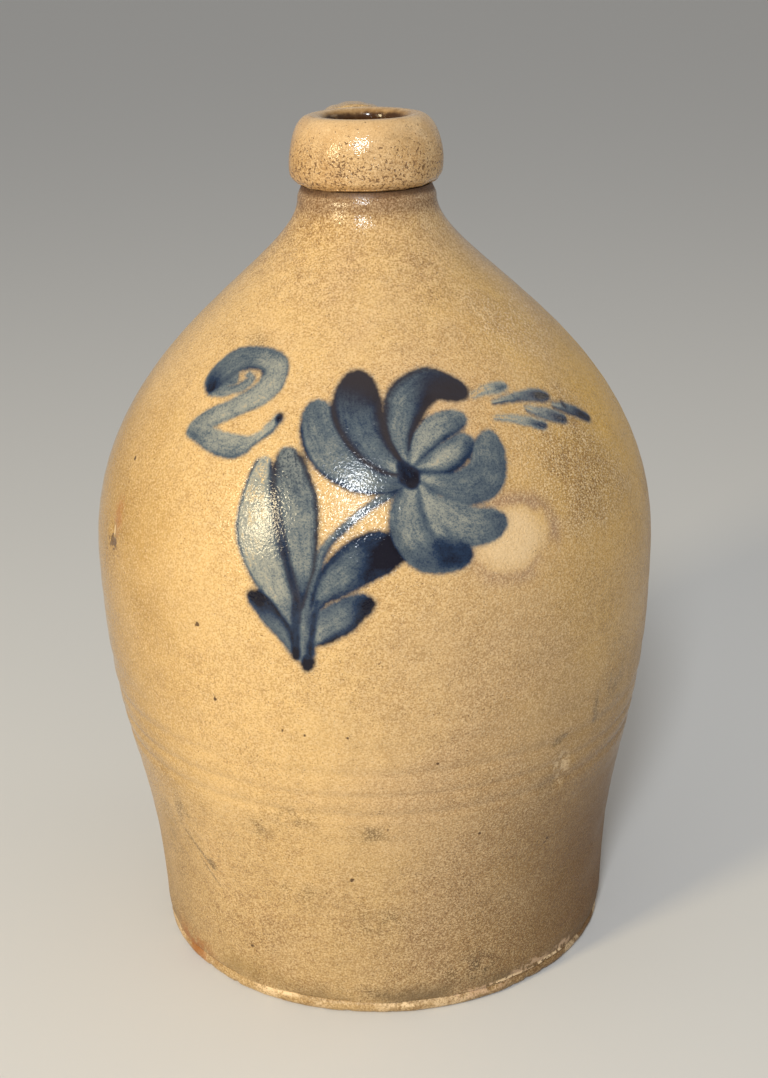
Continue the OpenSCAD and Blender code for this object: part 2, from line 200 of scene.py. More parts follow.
def section():
    """The jug's curves, worked out from its sizes."""
    s = bpy.context.scene.jug_shape
    belly, belly_z = s.belly_radius / MM, s.belly_height / MM
    foot, floor = s.foot_radius / MM, s.floor_thickness / MM
    neck, neck_z = s.neck_radius / MM, s.neck_height / MM
    lower = [(foot, floor), (foot + FOOT_LEAN, floor + FOOT_RUN), (belly, belly_z - BELLY_RUN_DOWN),
             (belly, belly_z)]
    upper = [(belly, belly_z), (belly, belly_z + BELLY_RUN_UP), (neck, neck_z - NECK_RUN),
             (neck, neck_z)]
    return lower, upper


def inside_of(lower, wall, floor, depth=0.0):
    """The cove and the lower wall's inner side, moved inward by a depth."""
    top = floor + COVE_RADIUS
    start = np.interp(top, *zip(*[(z, r) for r, z in side_of(lower, INSIDE_STEPS, wall)]))
    radius = COVE_RADIUS - depth
    cove = [(start - COVE_RADIUS + radius * math.sin(a), top - radius * math.cos(a))
            for a in arc(0, 90, 8)]
    return cove + [p for p in side_of(lower, INSIDE_STEPS, wall + depth) if p[1] > top + 1]


def wall_table():
    """Heights and radii of the outside wall, for placing what lies on it."""
    lower, upper = section()
    rows = side_of(lower, 200) + side_of(upper, 300)[1:]
    return np.array([p[1] for p in rows]), np.array([p[0] for p in rows])


def wall_radius(z):
    """Radius of the outside wall at a height, both in millimetres."""
    heights, radii = wall_table()
    return float(np.interp(z, heights, radii))


def wall_lean(up, table):
    """How much the wall's radius grows per millimetre of height."""
    return (np.interp(up + 1, *table) - np.interp(up - 1, *table)) / 2


def lute(middle, z):
    """Ridge that keys a luted joint."""
    return [(middle + KEY_HALF_WIDTH, z), (middle, z + KEY_HEIGHT), (middle - KEY_HALF_WIDTH, z)]


# Finger rings: height and width in millimetres, and depth as a factor on the ring depth
RING_MARKS = [(116.4, 2.4, 2.0), (111.6, 1.4, 0.5), (106.4, 1.8, 2.3), (97.4, 2.0, 2.4),
              (127.8, 2.8, 0.9), (153.0, 3.0, 0.4), (84.0, 2.5, 0.5), (46.0, 3.5, 0.6),
              (268.0, 3.0, 0.4)]
# Dents: degrees round from the front, then height, half width, half height and depth in millimetres
DENTS = [(-72.0, 192.0, 2.6, 4.2, 0.7), (33.5, 106.0, 3.0, 6.5, 0.9), (31.5, 97.0, 2.4, 3.4, 0.7),
         (158.0, 60.0, 5.0, 4.0, 0.4), (-131.0, 120.0, 3.0, 3.4, 0.4)]


def wander(turn, z, waves, tall, seed):
    """Smooth chance movement round the jug and up it, mostly between -1 and 1."""
    chance = np.random.default_rng(seed)
    total = np.zeros(len(turn))
    for _ in range(12):
        around = int(chance.integers(waves // 3, waves + 1))
        total += np.sin(around * turn + z / tall * chance.uniform(-2, 2) + chance.uniform(0, math.tau))
    return total / 5


def polar(places):
    """Radius, turn from the front and height of each place."""
    x, y, z = places.T
    return np.hypot(x, y), np.arctan2(x, -y), z


def moved(places, out, up=0.0):
    """Places moved away from the axis and upward."""
    x, y, z = places.T
    r = np.maximum(np.hypot(x, y), 1)
    grow = (r + np.where(r > 1, out, 0)) / r
    return np.stack([x * grow, y * grow, z + up], axis=1)


def thrown(places):
    """Where clay lies once the potter's hands have moved it: drift, finger rings and dents."""
    s = bpy.context.scene.jug_shape
    r, turn, z = polar(places)
    ring, over_foot, under_collar = s.ring_depth / MM, 12, 306
    drift = np.clip(0.5 + 0.6 * wander(turn, z, 3, 70, 1), 0, 1) * np.minimum(1, r / 30)
    outside = r > np.interp(z, *wall_table()) - 2
    skin = np.where(outside & (z > over_foot) & (z < under_collar), 1.0, 0.0)
    fading = np.clip(0.7 + 0.35 * wander(turn, z, 4, 30, 2), 0.4, 1)
    out = -s.wobble / MM * drift
    for height, width, depth in RING_MARKS:
        out -= skin * fading * ring * depth * np.exp(-((z - height) / width) ** 2)
    ribs = 1 + np.sin(z / 1.45 + 2.2 * np.sin(z / 11) + 0.5 * turn / math.pi)
    out -= skin * fading * 0.08 * ring * ribs
    for degrees, height, wide, tall, depth in DENTS:
        away = np.abs(np.angle(np.exp(1j * (turn - math.radians(degrees))))) * r / wide
        out -= skin * depth * np.exp(-away ** 2 - ((z - height) / tall) ** 2)
    return moved(places, out)


def chipped(places):
    """The foot's bead, worn and chipped where it has been set down."""
    r, turn, z = polar(places)
    outer, top = r > 85, 9
    edge = np.where(outer & (z < top), np.minimum(1, (top - z) / 3), 0)
    fine, broad = wander(turn, z, 110, 5, 3), wander(turn, z, 17, 14, 4)
    chip = step(0.50, 1.7, fine + 0.9 * broad - 0.12 * z) * 0.9
    worn = 0.45 * np.clip(broad, 0, 1) + 0.12 * np.clip(1 + wander(turn, z, 60, 6, 9), 0, 2)
    smeared = step(-0.3, 0.8, wander(turn, 0 * z, 13, 50, 11)) * 0.75
    filled = (np.maximum(smeared, 0.9 * np.exp(-((turn - 0.62) / 0.42) ** 2))
              * np.exp(-((z - 6.2) / 0.8) ** 2))
    return moved(places, np.where(outer, filled, 0) - (chip + worn) * edge)


def ragged(places):
    """The collar's lower edge, squeezed out unevenly over the neck, and its uneven crest."""
    s = bpy.context.scene.jug_shape
    base, rim = s.collar_height / MM, s.rim_height / MM
    r, turn, z = polar(places)
    lip, crown = 4, 9
    hang = np.clip(0.55 + 0.5 * wander(turn, z, 5, 90, 5) + 0.16 * wander(turn, z, 24, 90, 6), -0.2, 1.5)
    up = np.where((r > 25.5) & (z < base + lip), hang * (1 - (z - base) / lip), 0)
    slump = np.clip(0.5 + 0.5 * wander(turn, z, 2, 90, 7), 0, 1) * 0.7
    up -= np.where((z > rim - crown) & (r > 15), slump * (z - rim + crown) / crown, 0)
    lumps = 0.35 * np.clip(1 + wander(turn, z, 9, 6, 8), 0, 2)
    return moved(places, np.where((r > 21) & (z > base + 1), -lumps, 0), up)


# Making meshes

def spun(points, turns):
    """A closed section, given as radii and heights in millimetres, turned full circle.

    A quarter is spun and then doubled twice, which is much quicker than one long spin.
    """
    bm = bmesh.new()
    verts = [bm.verts.new((0.0, -r, z)) for r, z in points]
    edges = [bm.edges.new((a, b)) for a, b in zip(verts, verts[1:] + verts[:1])]
    bmesh.ops.spin(bm, geom=verts + edges, cent=(0, 0, 0), axis=(0, 0, 1), angle=math.tau / 4,
                   steps=turns // 4, use_duplicate=False)
    for angle in (math.tau / 4, math.tau / 2):
        copied = bmesh.ops.duplicate(bm, geom=bm.faces[:])["geom"]
        bmesh.ops.rotate(bm, verts=[v for v in copied if isinstance(v, bmesh.types.BMVert)],
                         cent=(0, 0, 0), matrix=Matrix.Rotation(angle, 3, "Z"))
    bmesh.ops.remove_doubles(bm, verts=bm.verts, dist=1e-3)
    bmesh.ops.dissolve_degenerate(bm, edges=bm.edges, dist=1e-4)
    return bm


def worked(bm, *hands):
    """Moves every point of a bmesh by each of the hands in turn."""
    places = np.array([vert.co[:] for vert in bm.verts])
    for hand in hands:
        places = hand(places)
    for vert, place in zip(bm.verts, places):
        vert.co = place


def piece(name, bm, material, node):
    """Turns a bmesh in millimetres into a finished piece that stands for a node."""
    bmesh.ops.scale(bm, vec=(MM, MM, MM), verts=bm.verts)
    bmesh.ops.recalc_face_normals(bm, faces=bm.faces)
    mesh = bpy.data.meshes.new(name)
    bm.to_mesh(mesh)
    bm.free()
    mesh.polygons.foreach_set("use_smooth", [True] * len(mesh.polygons))
    mesh.set_sharp_from_angle(angle=math.radians(50))
    obj = bpy.data.objects.new(name, mesh)
    bpy.context.scene.collection.objects.link(obj)
    mesh.materials.append(material)
    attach(obj, "root")
    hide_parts(node)
    return obj


def step(low, high, x):
    """A smooth step from 0 to 1."""
    t = np.clip((x - low) / (high - low), 0, 1)
    return t * t * (3 - 2 * t)


class Slip:
    """How slip lies in a stroke, where 0 is bare glaze and 1 the thickest pool.

    The wash fills the middle, the tip takes over from a share of the run, which can slant to the
    left, and the left and right lines reach inward by shares of the stroke's half width.
    """

    def __init__(self, wash, tip, root, left, right, tip_from=0.8, slant=0.0, left_wide=0.2,
                 right_wide=0.2, umber=0.0):
        self.wash, self.tip, self.root = wash, tip, root
        self.left, self.left_wide, self.right, self.right_wide = left, left_wide, right, right_wide
        self.tip_from, self.slant, self.umber = tip_from, slant, umber

    def load(self, s, q, depth_left, depth_right, half):
        """The thickness at shares along and across, and how much of it belongs to tip or lines."""
        blend, root_to, line_edge, line_least = 0.22, 0.30, 0.35, 0.25
        at_tip = step(self.tip_from - blend, self.tip_from + blend, s + self.slant * q)
        load = self.wash + (self.tip - self.wash) * at_tip
        load = load + (self.root - load) * step(root_to, 0.0, s)
        dark = at_tip
        for line, wide, depth in ((self.left, self.left_wide, depth_left),
                                  (self.right, self.right_wide, depth_right)):
            near = np.exp(-(np.clip(depth - line_edge, 0, None) / (wide * half + line_least)) ** 2)
            load = load + (line - load) * near * np.where(line > load, 1.0, 0.7)
            dark = np.maximum(dark, near * (line > 0.6))
        return load, dark


# The painted strokes in the order that they were brushed: rows of across, up and width in shares
# of the motif's size, and then the slip
PETALS = [
    ([(-0.03, -0.03, 0.05), (-0.15, -0.05, 0.11), (-0.44, 0.02, 0.23), (-0.70, 0.19, 0.29),
      (-0.84, 0.42, 0.24)],
     Slip(0.47, 0.54, 0.66, left=0.84, right=0.60, left_wide=0.10, right_wide=0.25, umber=0.1)),
    ([(0.01, 0.04, 0.05), (-0.04, 0.25, 0.18), (0.05, 0.43, 0.29), (0.19, 0.50, 0.28),
      (0.37, 0.53, 0.24), (0.67, 0.46, 0.15)],
     Slip(0.50, 0.88, 0.42, left=0.70, right=0.94, tip_from=0.66, slant=-0.14, left_wide=0.26,
          right_wide=0.34, umber=0.85)),
    ([(-0.03, 0.03, 0.06), (-0.16, 0.09, 0.17), (-0.30, 0.20, 0.26), (-0.43, 0.40, 0.35),
      (-0.43, 0.59, 0.33)],
     Slip(0.58, 0.84, 0.30, left=0.84, right=0.92, tip_from=0.76, slant=-0.06, left_wide=0.22,
          right_wide=0.34, umber=0.95)),
    ([(0.04, 0.06, 0.04), (0.11, 0.14, 0.11), (0.21, 0.22, 0.18), (0.35, 0.28, 0.19),
      (0.57, 0.31, 0.13)],
     Slip(0.34, 0.54, 0.28, left=0.44, right=0.76, left_wide=0.30, right_wide=0.34, umber=0.1)),
    ([(0.06, 0.04, 0.04), (0.17, 0.05, 0.11), (0.31, 0.07, 0.19), (0.44, 0.12, 0.19),
      (0.58, 0.17, 0.13)],
     Slip(0.26, 0.56, 0.34, left=0.52, right=0.86, left_wide=0.40, right_wide=0.50)),
    ([(0.08, -0.01, 0.05), (0.36, -0.10, 0.19), (0.52, -0.10, 0.26), (0.67, -0.04, 0.28),
      (0.79, 0.18, 0.20)],
     Slip(0.54, 0.50, 0.28, left=0.54, right=0.64, tip_from=0.9, left_wide=0.3, right_wide=0.30)),
    ([(0.07, -0.06, 0.05), (0.15, -0.17, 0.12), (0.26, -0.26, 0.19), (0.39, -0.34, 0.26),
      (0.52, -0.37, 0.25), (0.71, -0.36, 0.18)],
     Slip(0.38, 0.62, 0.28, left=0.48, right=0.56, tip_from=0.80, left_wide=0.3, right_wide=0.30)),
    ([(0.10, -0.12, 0.03), (0.15, -0.28, 0.08), (0.20, -0.42, 0.10), (0.30, -0.50, 0.08)],
     Slip(0.34, 0.50, 0.30, left=0.40, right=0.40)),
    ([(0.03, -0.07, 0.10), (-0.03, -0.18, 0.19), (-0.03, -0.30, 0.26), (0.02, -0.42, 0.27),
      (0.13, -0.51, 0.26), (0.39, -0.54, 0.19)],
     Slip(0.44, 0.84, 0.34, left=0.62, right=0.58, tip_from=0.64, left_wide=0.30, right_wide=0.35)),
    ([(-0.06, 0.08, 0.04), (-0.02, 0.03, 0.10), (0.01, -0.01, 0.14), (0.03, -0.06, 0.12)],
     Slip(0.93, 0.96, 0.90, left=0.9, right=0.9, umber=0.3)),
]
LEAVES = [
    ([(0.02, 0.44, 0.03), (-0.01, 0.28, 0.05), (-0.02, 0.15, 0.055), (-0.03, 0.03, 0.05)],
     Slip(0.42, 0.40, 0.50, left=0.60, right=0.90, left_wide=0.3, right_wide=0.3)),
    ([(0.47, 0.85, 0.03), (0.33, 0.79, 0.03), (0.20, 0.70, 0.03), (0.11, 0.62, 0.03),
      (0.06, 0.52, 0.04), (0.03, 0.38, 0.05), (0.01, 0.13, 0.04), (0.0, 0.05, 0.04)],
     Slip(0.42, 0.66, 0.46, left=0.70, right=0.50, tip_from=0.70, left_wide=0.6)),
    # This leaf is thinned so the buff glaze shows: partly a thin wash, partly a painted highlight of the
    # warm lamp's sheen
    ([(-0.07, 0.16, 0.03), (-0.12, 0.32, 0.12), (-0.19, 0.45, 0.19), (-0.25, 0.56, 0.22),
      (-0.30, 0.69, 0.22), (-0.32, 0.89, 0.13), (-0.31, 0.98, 0.07)],
     Slip(0.29, 0.18, 0.60, left=0.60, right=0.76, tip_from=0.72, left_wide=0.08, right_wide=0.24,
          umber=0.3)),
    ([(-0.03, 0.30, 0.02), (-0.02, 0.42, 0.07), (-0.03, 0.54, 0.15), (-0.07, 0.77, 0.21),
      (-0.11, 0.87, 0.20), (-0.18, 1.02, 0.13)],
     Slip(0.42, 0.46, 0.88, left=0.70, right=0.72, tip_from=0.76, left_wide=0.24, right_wide=0.20,
          umber=0.9)),
    ([(-0.195, 0.84, 0.012), (-0.170, 0.73, 0.020), (-0.135, 0.62, 0.026), (-0.090, 0.48, 0.026),
      (-0.052, 0.36, 0.026), (-0.050, 0.22, 0.034)],
     Slip(0.84, 0.92, 0.60, left=0.7, right=0.7, tip_from=0.7, umber=0.6)),
    ([(-0.055, 0.32, 0.020), (-0.058, 0.22, 0.028), (-0.060, 0.12, 0.030)],
     Slip(0.88, 0.94, 0.80, left=0.8, right=0.8)),
    ([(0.04, 0.29, 0.03), (0.09, 0.38, 0.10), (0.17, 0.46, 0.18), (0.27, 0.53, 0.22),
      (0.36, 0.57, 0.22), (0.47, 0.59, 0.20)],
     Slip(0.50, 1.06, 0.50, left=0.84, right=0.80, tip_from=0.68, slant=-0.16, left_wide=0.30,
          right_wide=0.34, umber=0.1)),
    ([(0.03, 0.14, 0.11), (0.11, 0.21, 0.16), (0.19, 0.26, 0.16), (0.26, 0.31, 0.12),
      (0.33, 0.33, 0.09)],
     Slip(0.50, 1.02, 0.26, left=0.62, right=0.92, tip_from=0.76, slant=-0.10, left_wide=0.30,
          right_wide=0.36)),
    ([(-0.08, 0.07, 0.03), (-0.12, 0.16, 0.08), (-0.18, 0.23, 0.10), (-0.23, 0.29, 0.10),
      (-0.30, 0.34, 0.07)],
     Slip(0.58, 0.98, 0.60, left=0.66, right=1.00, tip_from=0.64, left_wide=0.3, right_wide=0.44)),
    ([(0.060, 0.34, 0.012), (0.038, 0.22, 0.024), (0.022, 0.12, 0.028), (0.015, 0.05, 0.028)],
     Slip(0.86, 0.94, 0.76, left=0.8, right=0.8)),
    ([(-0.06, 0.15, 0.02), (-0.06, 0.09, 0.03), (-0.06, 0.03, 0.04)],
     Slip(0.90, 1.04, 0.80, left=0.9, right=0.9, tip_from=0.6)),
    ([(0.0, 0.03, 0.05), (0.0, 0.0, 0.06), (-0.01, -0.03, 0.05)],
     Slip(1.02, 1.05, 0.92, left=0.95, right=0.95, tip_from=0.5)),
]
FEATHER = [
    ([(-0.24, 0.08, 0.03), (-0.08, 0.10, 0.06), (0.07, 0.10, 0.08), (0.18, 0.10, 0.04)],
     Slip(0.22, 0.54, 0.04, left=0.16, right=0.28, tip_from=0.68)),
    ([(-0.05, 0.02, 0.02), (0.26, 0.02, 0.06), (0.41, 0.01, 0.08), (0.54, -0.01, 0.09),
      (0.64, -0.03, 0.05)],
     Slip(0.46, 1.00, 0.05, left=0.36, right=0.66, tip_from=0.66, right_wide=0.3)),
    ([(0.65, -0.09, 0.03), (0.77, -0.13, 0.06), (0.90, -0.18, 0.08), (1.06, -0.26, 0.06)],
     Slip(0.56, 0.94, 0.24, left=0.46, right=0.80, tip_from=0.58, umber=0.1)),
    ([(0.30, -0.06, 0.03), (0.41, -0.10, 0.06), (0.54, -0.14, 0.09), (0.71, -0.20, 0.06)],
     Slip(0.44, 0.86, 0.10, left=0.34, right=0.56, tip_from=0.62, umber=0.1)),
    ([(-0.10, -0.07, 0.02), (0.04, -0.09, 0.04), (0.18, -0.12, 0.06), (0.41, -0.19, 0.06)],
     Slip(0.24, 0.80, 0.04, left=0.18, right=0.36, tip_from=0.74)),
    ([(0.788, -0.10, 0.002), (0.792, -0.115, 0.006), (0.80, -0.13, 0.002)],
     Slip(1.0, 1.0, 1.0, left=0.9, right=0.9, umber=0.9)),
]
NUMERAL = [
    ([(-0.01, 0.22, 0.03), (0.08, 0.19, 0.06), (0.0, 0.13, 0.08), (-0.12, 0.09, 0.07),
      (-0.28, 0.06, 0.09), (-0.47, 0.06, 0.13)],
     Slip(0.42, 0.54, 0.30, left=0.42, right=0.52, right_wide=0.4)),
    ([(-0.52, 0.12, 0.16), (-0.38, 0.155, 0.17), (-0.26, 0.165, 0.14), (-0.17, 0.16, 0.08)],
     Slip(0.60, 0.48, 0.84, left=0.58, right=0.50, umber=0.1)),
    ([(-0.51, 0.05, 0.15), (-0.53, 0.13, 0.22), (-0.45, 0.22, 0.26), (-0.30, 0.30, 0.26),
      (-0.06, 0.34, 0.22), (0.20, 0.34, 0.22), (0.38, 0.30, 0.24), (0.44, 0.22, 0.24)],
     Slip(0.52, 0.34, 0.92, left=0.56, right=0.70, tip_from=0.70, slant=-0.1, left_wide=0.25,
          right_wide=0.26, umber=0.1)),
    ([(0.42, 0.30, 0.22), (0.43, 0.21, 0.24), (0.33, 0.10, 0.22), (0.13, 0.01, 0.19),
      (-0.07, -0.07, 0.18), (-0.25, -0.14, 0.19), (-0.41, -0.23, 0.18), (-0.51, -0.30, 0.10)],
     Slip(0.28, 0.44, 0.32, left=0.42, right=0.44, left_wide=0.25, right_wide=0.30)),
    ([(-0.48, -0.27, 0.09), (-0.21, -0.30, 0.17), (0.02, -0.32, 0.21), (0.22, -0.32, 0.20),
      (0.38, -0.27, 0.10), (0.48, -0.22, 0.07), (0.58, -0.15, 0.08), (0.66, -0.07, 0.05)],
     Slip(0.38, 0.20, 0.48, left=0.28, right=0.56, tip_from=0.72, left_wide=0.3, right_wide=0.30)),
    ([(0.655, -0.085, 0.045), (0.67, -0.065, 0.055), (0.68, -0.05, 0.045)],
     Slip(0.95, 0.98, 0.90, left=0.8, right=0.8, umber=0.8)),
]

# Each motif's strokes, its size, how far round the belly it lies and its height, in millimetres
MOTIFS = {
    "cobalt_leaves": (LEAVES, 70.0, -39.6, 163.0),
    "cobalt_feather": (FEATHER, 50.0, 50.5, 245.0),
    "cobalt_numeral": (NUMERAL, 40.0, -86.2, 247.0),
    "cobalt_petals": (PETALS, 50.0, 0.0, 227.5),
}


def between(rows, s):
    """A row on a smooth line through all of a stroke's rows."""
    last = len(rows) - 1
    i = min(int(s * last), last - 1)
    t = s * last - i
    a, b, c, d = (Vector(rows[k]) for k in (max(i - 1, 0), i, i + 1, min(i + 2, last)))
    return (2 * b + (c - a) * t + (2 * a - 5 * b + 4 * c - d) * t * t
            + (3 * b - a - 3 * c + d) * t ** 3) / 2


def rounded(half, tip, away):
    """Half the width of a stroke at a distance from a tip of a given half width."""
    if away >= tip:
        return half
    return min(half, max(0.25 * tip, math.sqrt(tip * tip - (tip - away) ** 2)))


class Stroke:
    """One pull of the brush, read at even steps along its run."""

    def __init__(self, rows, slip, size, side, height, table):
        steps = 72
        rows = [tuple(value * size for value in row) for row in rows]
        places = [between(rows, i / steps) for i in range(steps + 1)]
        self.slip, bleed = slip, bpy.context.scene.jug_cobalt.bleed / MM
        self.across = np.array([side + p.x for p in places])
        self.up = np.array([height + p.y for p in places])
        self.girth = np.interp(self.up, *table) / table[1].max()
        self.rise = np.hypot(1, wall_lean(self.up, table))
        first, last = places[0], places[-1]
        self.half = bleed + np.array([
            rounded(rounded(p.z / 2, first.z / 2, (p.xy - first.xy).length),
                    last.z / 2, (p.xy - last.xy).length) for p in places])
        self.full = bleed + np.array([p.z / 2 for p in places])
        way_x = np.gradient(self.across) * self.girth
        way_y = np.gradient(self.up) * self.rise
        steps_long = np.hypot(way_x, way_y)
        self.way = way_x / steps_long, way_y / steps_long
        self.run = np.concatenate([[0], np.cumsum((steps_long[1:] + steps_long[:-1]) / 2)])

    def near(self, across, up, margin):
        """Which places lie inside the stroke's bounds, widened by a margin."""
        return ((across > self.across.min() - margin) & (across < self.across.max() + margin)
                & (up > self.up.min() - margin) & (up < self.up.max() + margin))

    def read(self, across, up):
        """Depth inside the stroke, distance along it, offset to its left, and half width."""
        dx = (across[:, None] - self.across) * self.girth
        dy = (up[:, None] - self.up) * self.rise
        away = np.hypot(dx, dy)
        depth = (self.half - away).max(axis=1)
        k = away.argmin(axis=1)
        pick = np.arange(len(k)), k
        along = dx[pick] * self.way[0][k] + dy[pick] * self.way[1][k]
        left = -dx[pick] * self.way[1][k] + dy[pick] * self.way[0][k]
        return depth, self.run[k] + along, left, self.full[k]


# Half width of the paint's soft edge, how widely the edges of two strokes merge, the depth given to
# bare wall, and how far a coat's skin and the grid that it is cut from reach beyond the paint
SOFT_EDGE, MERGE, BARE, SKIN_MARGIN, GRID_MARGIN = 0.9, 0.8, -9.0, 2.2, 8


def painted(strokes, across, up):
    """The slip, its umber, the depth inside the paint and the brush's own run and offset."""
    edge = np.full(len(across), BARE)
    slip, umber = np.zeros(len(across)), np.zeros(len(across))
    run, offset = across.copy(), up.copy()
    for stroke in strokes:
        near = np.flatnonzero(stroke.near(across, up, stroke.full.max() + 6))
        if not len(near):
            continue
        depth, along, left, half = stroke.read(across[near], up[near])
        s, q = along / stroke.run[-1], np.clip(left / half, -1.2, 1.2)
        load, dark = stroke.slip.load(s, q, half - left, half + left, half)
        cover = step(-SOFT_EDGE, SOFT_EDGE, depth)
        burn = stroke.slip.umber * np.clip(dark, 0, 1)
        laid = np.where(edge[near] > -SOFT_EDGE, cover, 1.0)
        slip[near] += (load - slip[near]) * laid
        umber[near] += (burn - umber[near]) * laid
        on_top = cover > 0.5
        run[near] = np.where(on_top, along, run[near])
        offset[near] = np.where(on_top, left, offset[near])
        edge[near] = np.logaddexp(edge[near] / MERGE, depth / MERGE) * MERGE
    return slip, umber, edge, run, offset


def all_strokes():
    """Every stroke on the jug, in the order that they were brushed, with its node."""
    table = wall_table()
    return [(node, Stroke(rows, slip, size, side, height, table))
            for node, (strokes, size, side, height) in MOTIFS.items() for rows, slip in strokes]


def coat_skin(own, table):
    """A flat grid cut to the strokes' outline and laid on the wall as a thin closed skin."""
    c = bpy.context.scene.jug_cobalt
    ways = ("across", "up")
    low_a, low_u = (min(getattr(s, way).min() for s in own) - GRID_MARGIN for way in ways)
    high_a, high_u = (max(getattr(s, way).max() for s in own) + GRID_MARGIN for way in ways)
    bm = bmesh.new()
    bmesh.ops.create_grid(bm, x_segments=round((high_a - low_a) / (c.grid / MM)),
                          y_segments=round((high_u - low_u) / (c.grid / MM)), size=0.5)
    bmesh.ops.transform(bm, verts=bm.verts, matrix=Matrix.Translation(
        ((low_a + high_a) / 2, (low_u + high_u) / 2, 0)) @ Matrix.Diagonal(
            (high_a - low_a, high_u - low_u, 1, 1)))
    spots = np.array([vert.co[:2] for vert in bm.verts])
    inside = painted(own, spots[:, 0], spots[:, 1])[2]
    for vert, depth in zip(list(bm.verts), inside):
        if depth < -SKIN_MARGIN:
            bm.verts.remove(vert)
    bmesh.ops.delete(bm, geom=[v for v in bm.verts if not v.link_faces], context="VERTS")
    across, up = np.array([vert.co[:2] for vert in bm.verts]).T
    turn, radius, lean = across / table[1].max(), np.interp(up, *table), wall_lean(up, table)
    out = np.stack([np.sin(turn), -np.cos(turn), -lean], axis=1) / np.hypot(1, lean)[:, None]
    wall = thrown(np.stack([radius * np.sin(turn), -radius * np.cos(turn), up], axis=1))
    for vert, place in zip(bm.verts, wall + out * c.lift / MM):
        vert.co = place
    bmesh.ops.recalc_face_normals(bm, faces=bm.faces)
    middle = Vector((0, 0, (low_u + high_u) / 2))
    if sum((f.normal.dot(f.calc_center_median() - middle) for f in bm.faces)) < 0:
        bmesh.ops.reverse_faces(bm, faces=bm.faces)
    bmesh.ops.solidify(bm, geom=bm.faces[:], thickness=c.coat / MM)
    return bm


def brushed(name, node):
    """The painted coat of one motif, with its slip and the brush's run kept on the mesh."""
    table = wall_table()
    strokes = all_strokes()
    bm = coat_skin([stroke for kind, stroke in strokes if kind == node], table)
    mesh = piece(name, bm, cobalt_material(), node).data
    co = np.zeros(len(mesh.vertices) * 3)
    mesh.vertices.foreach_get("co", co)
    x, y, z = co.reshape(-1, 3).T / MM
    slip, umber, edge, run, offset = painted([s for _, s in strokes],
                                             np.arctan2(x, -y) * table[1].max(), z)
    for label, values in (("slip", slip), ("umber", umber), ("brush_edge", edge)):
        mesh.attributes.new(label, "FLOAT", "POINT").data.foreach_set("value", values)
    loops = np.zeros(len(mesh.loops), dtype=np.int64)
    mesh.loops.foreach_get("vertex_index", loops)
    flow = np.stack([run, offset], axis=1)[loops] / 100
    mesh.uv_layers.new(name="brush_run").data.foreach_set("uv", flow.ravel())


# Materials

def flat(rgb):
    """A colour with full alpha."""
    return (*rgb, 1.0)


def shaded(rgb, *by):
    """A darker or lighter tone of a colour, by one factor or by one for each channel."""
    by = by * 3 if len(by) == 1 else by
    return tuple(min(1.0, value * factor) for value, factor in zip(rgb, by))


def on_wall(degrees, height, radius=None):
    """A place on the outside wall, or at a radius of its own, in metres."""
    radius, turn = wall_radius(height) if radius is None else radius, math.radians(degrees)
    return Vector((radius * math.sin(turn), -radius * math.cos(turn), height)) * MM


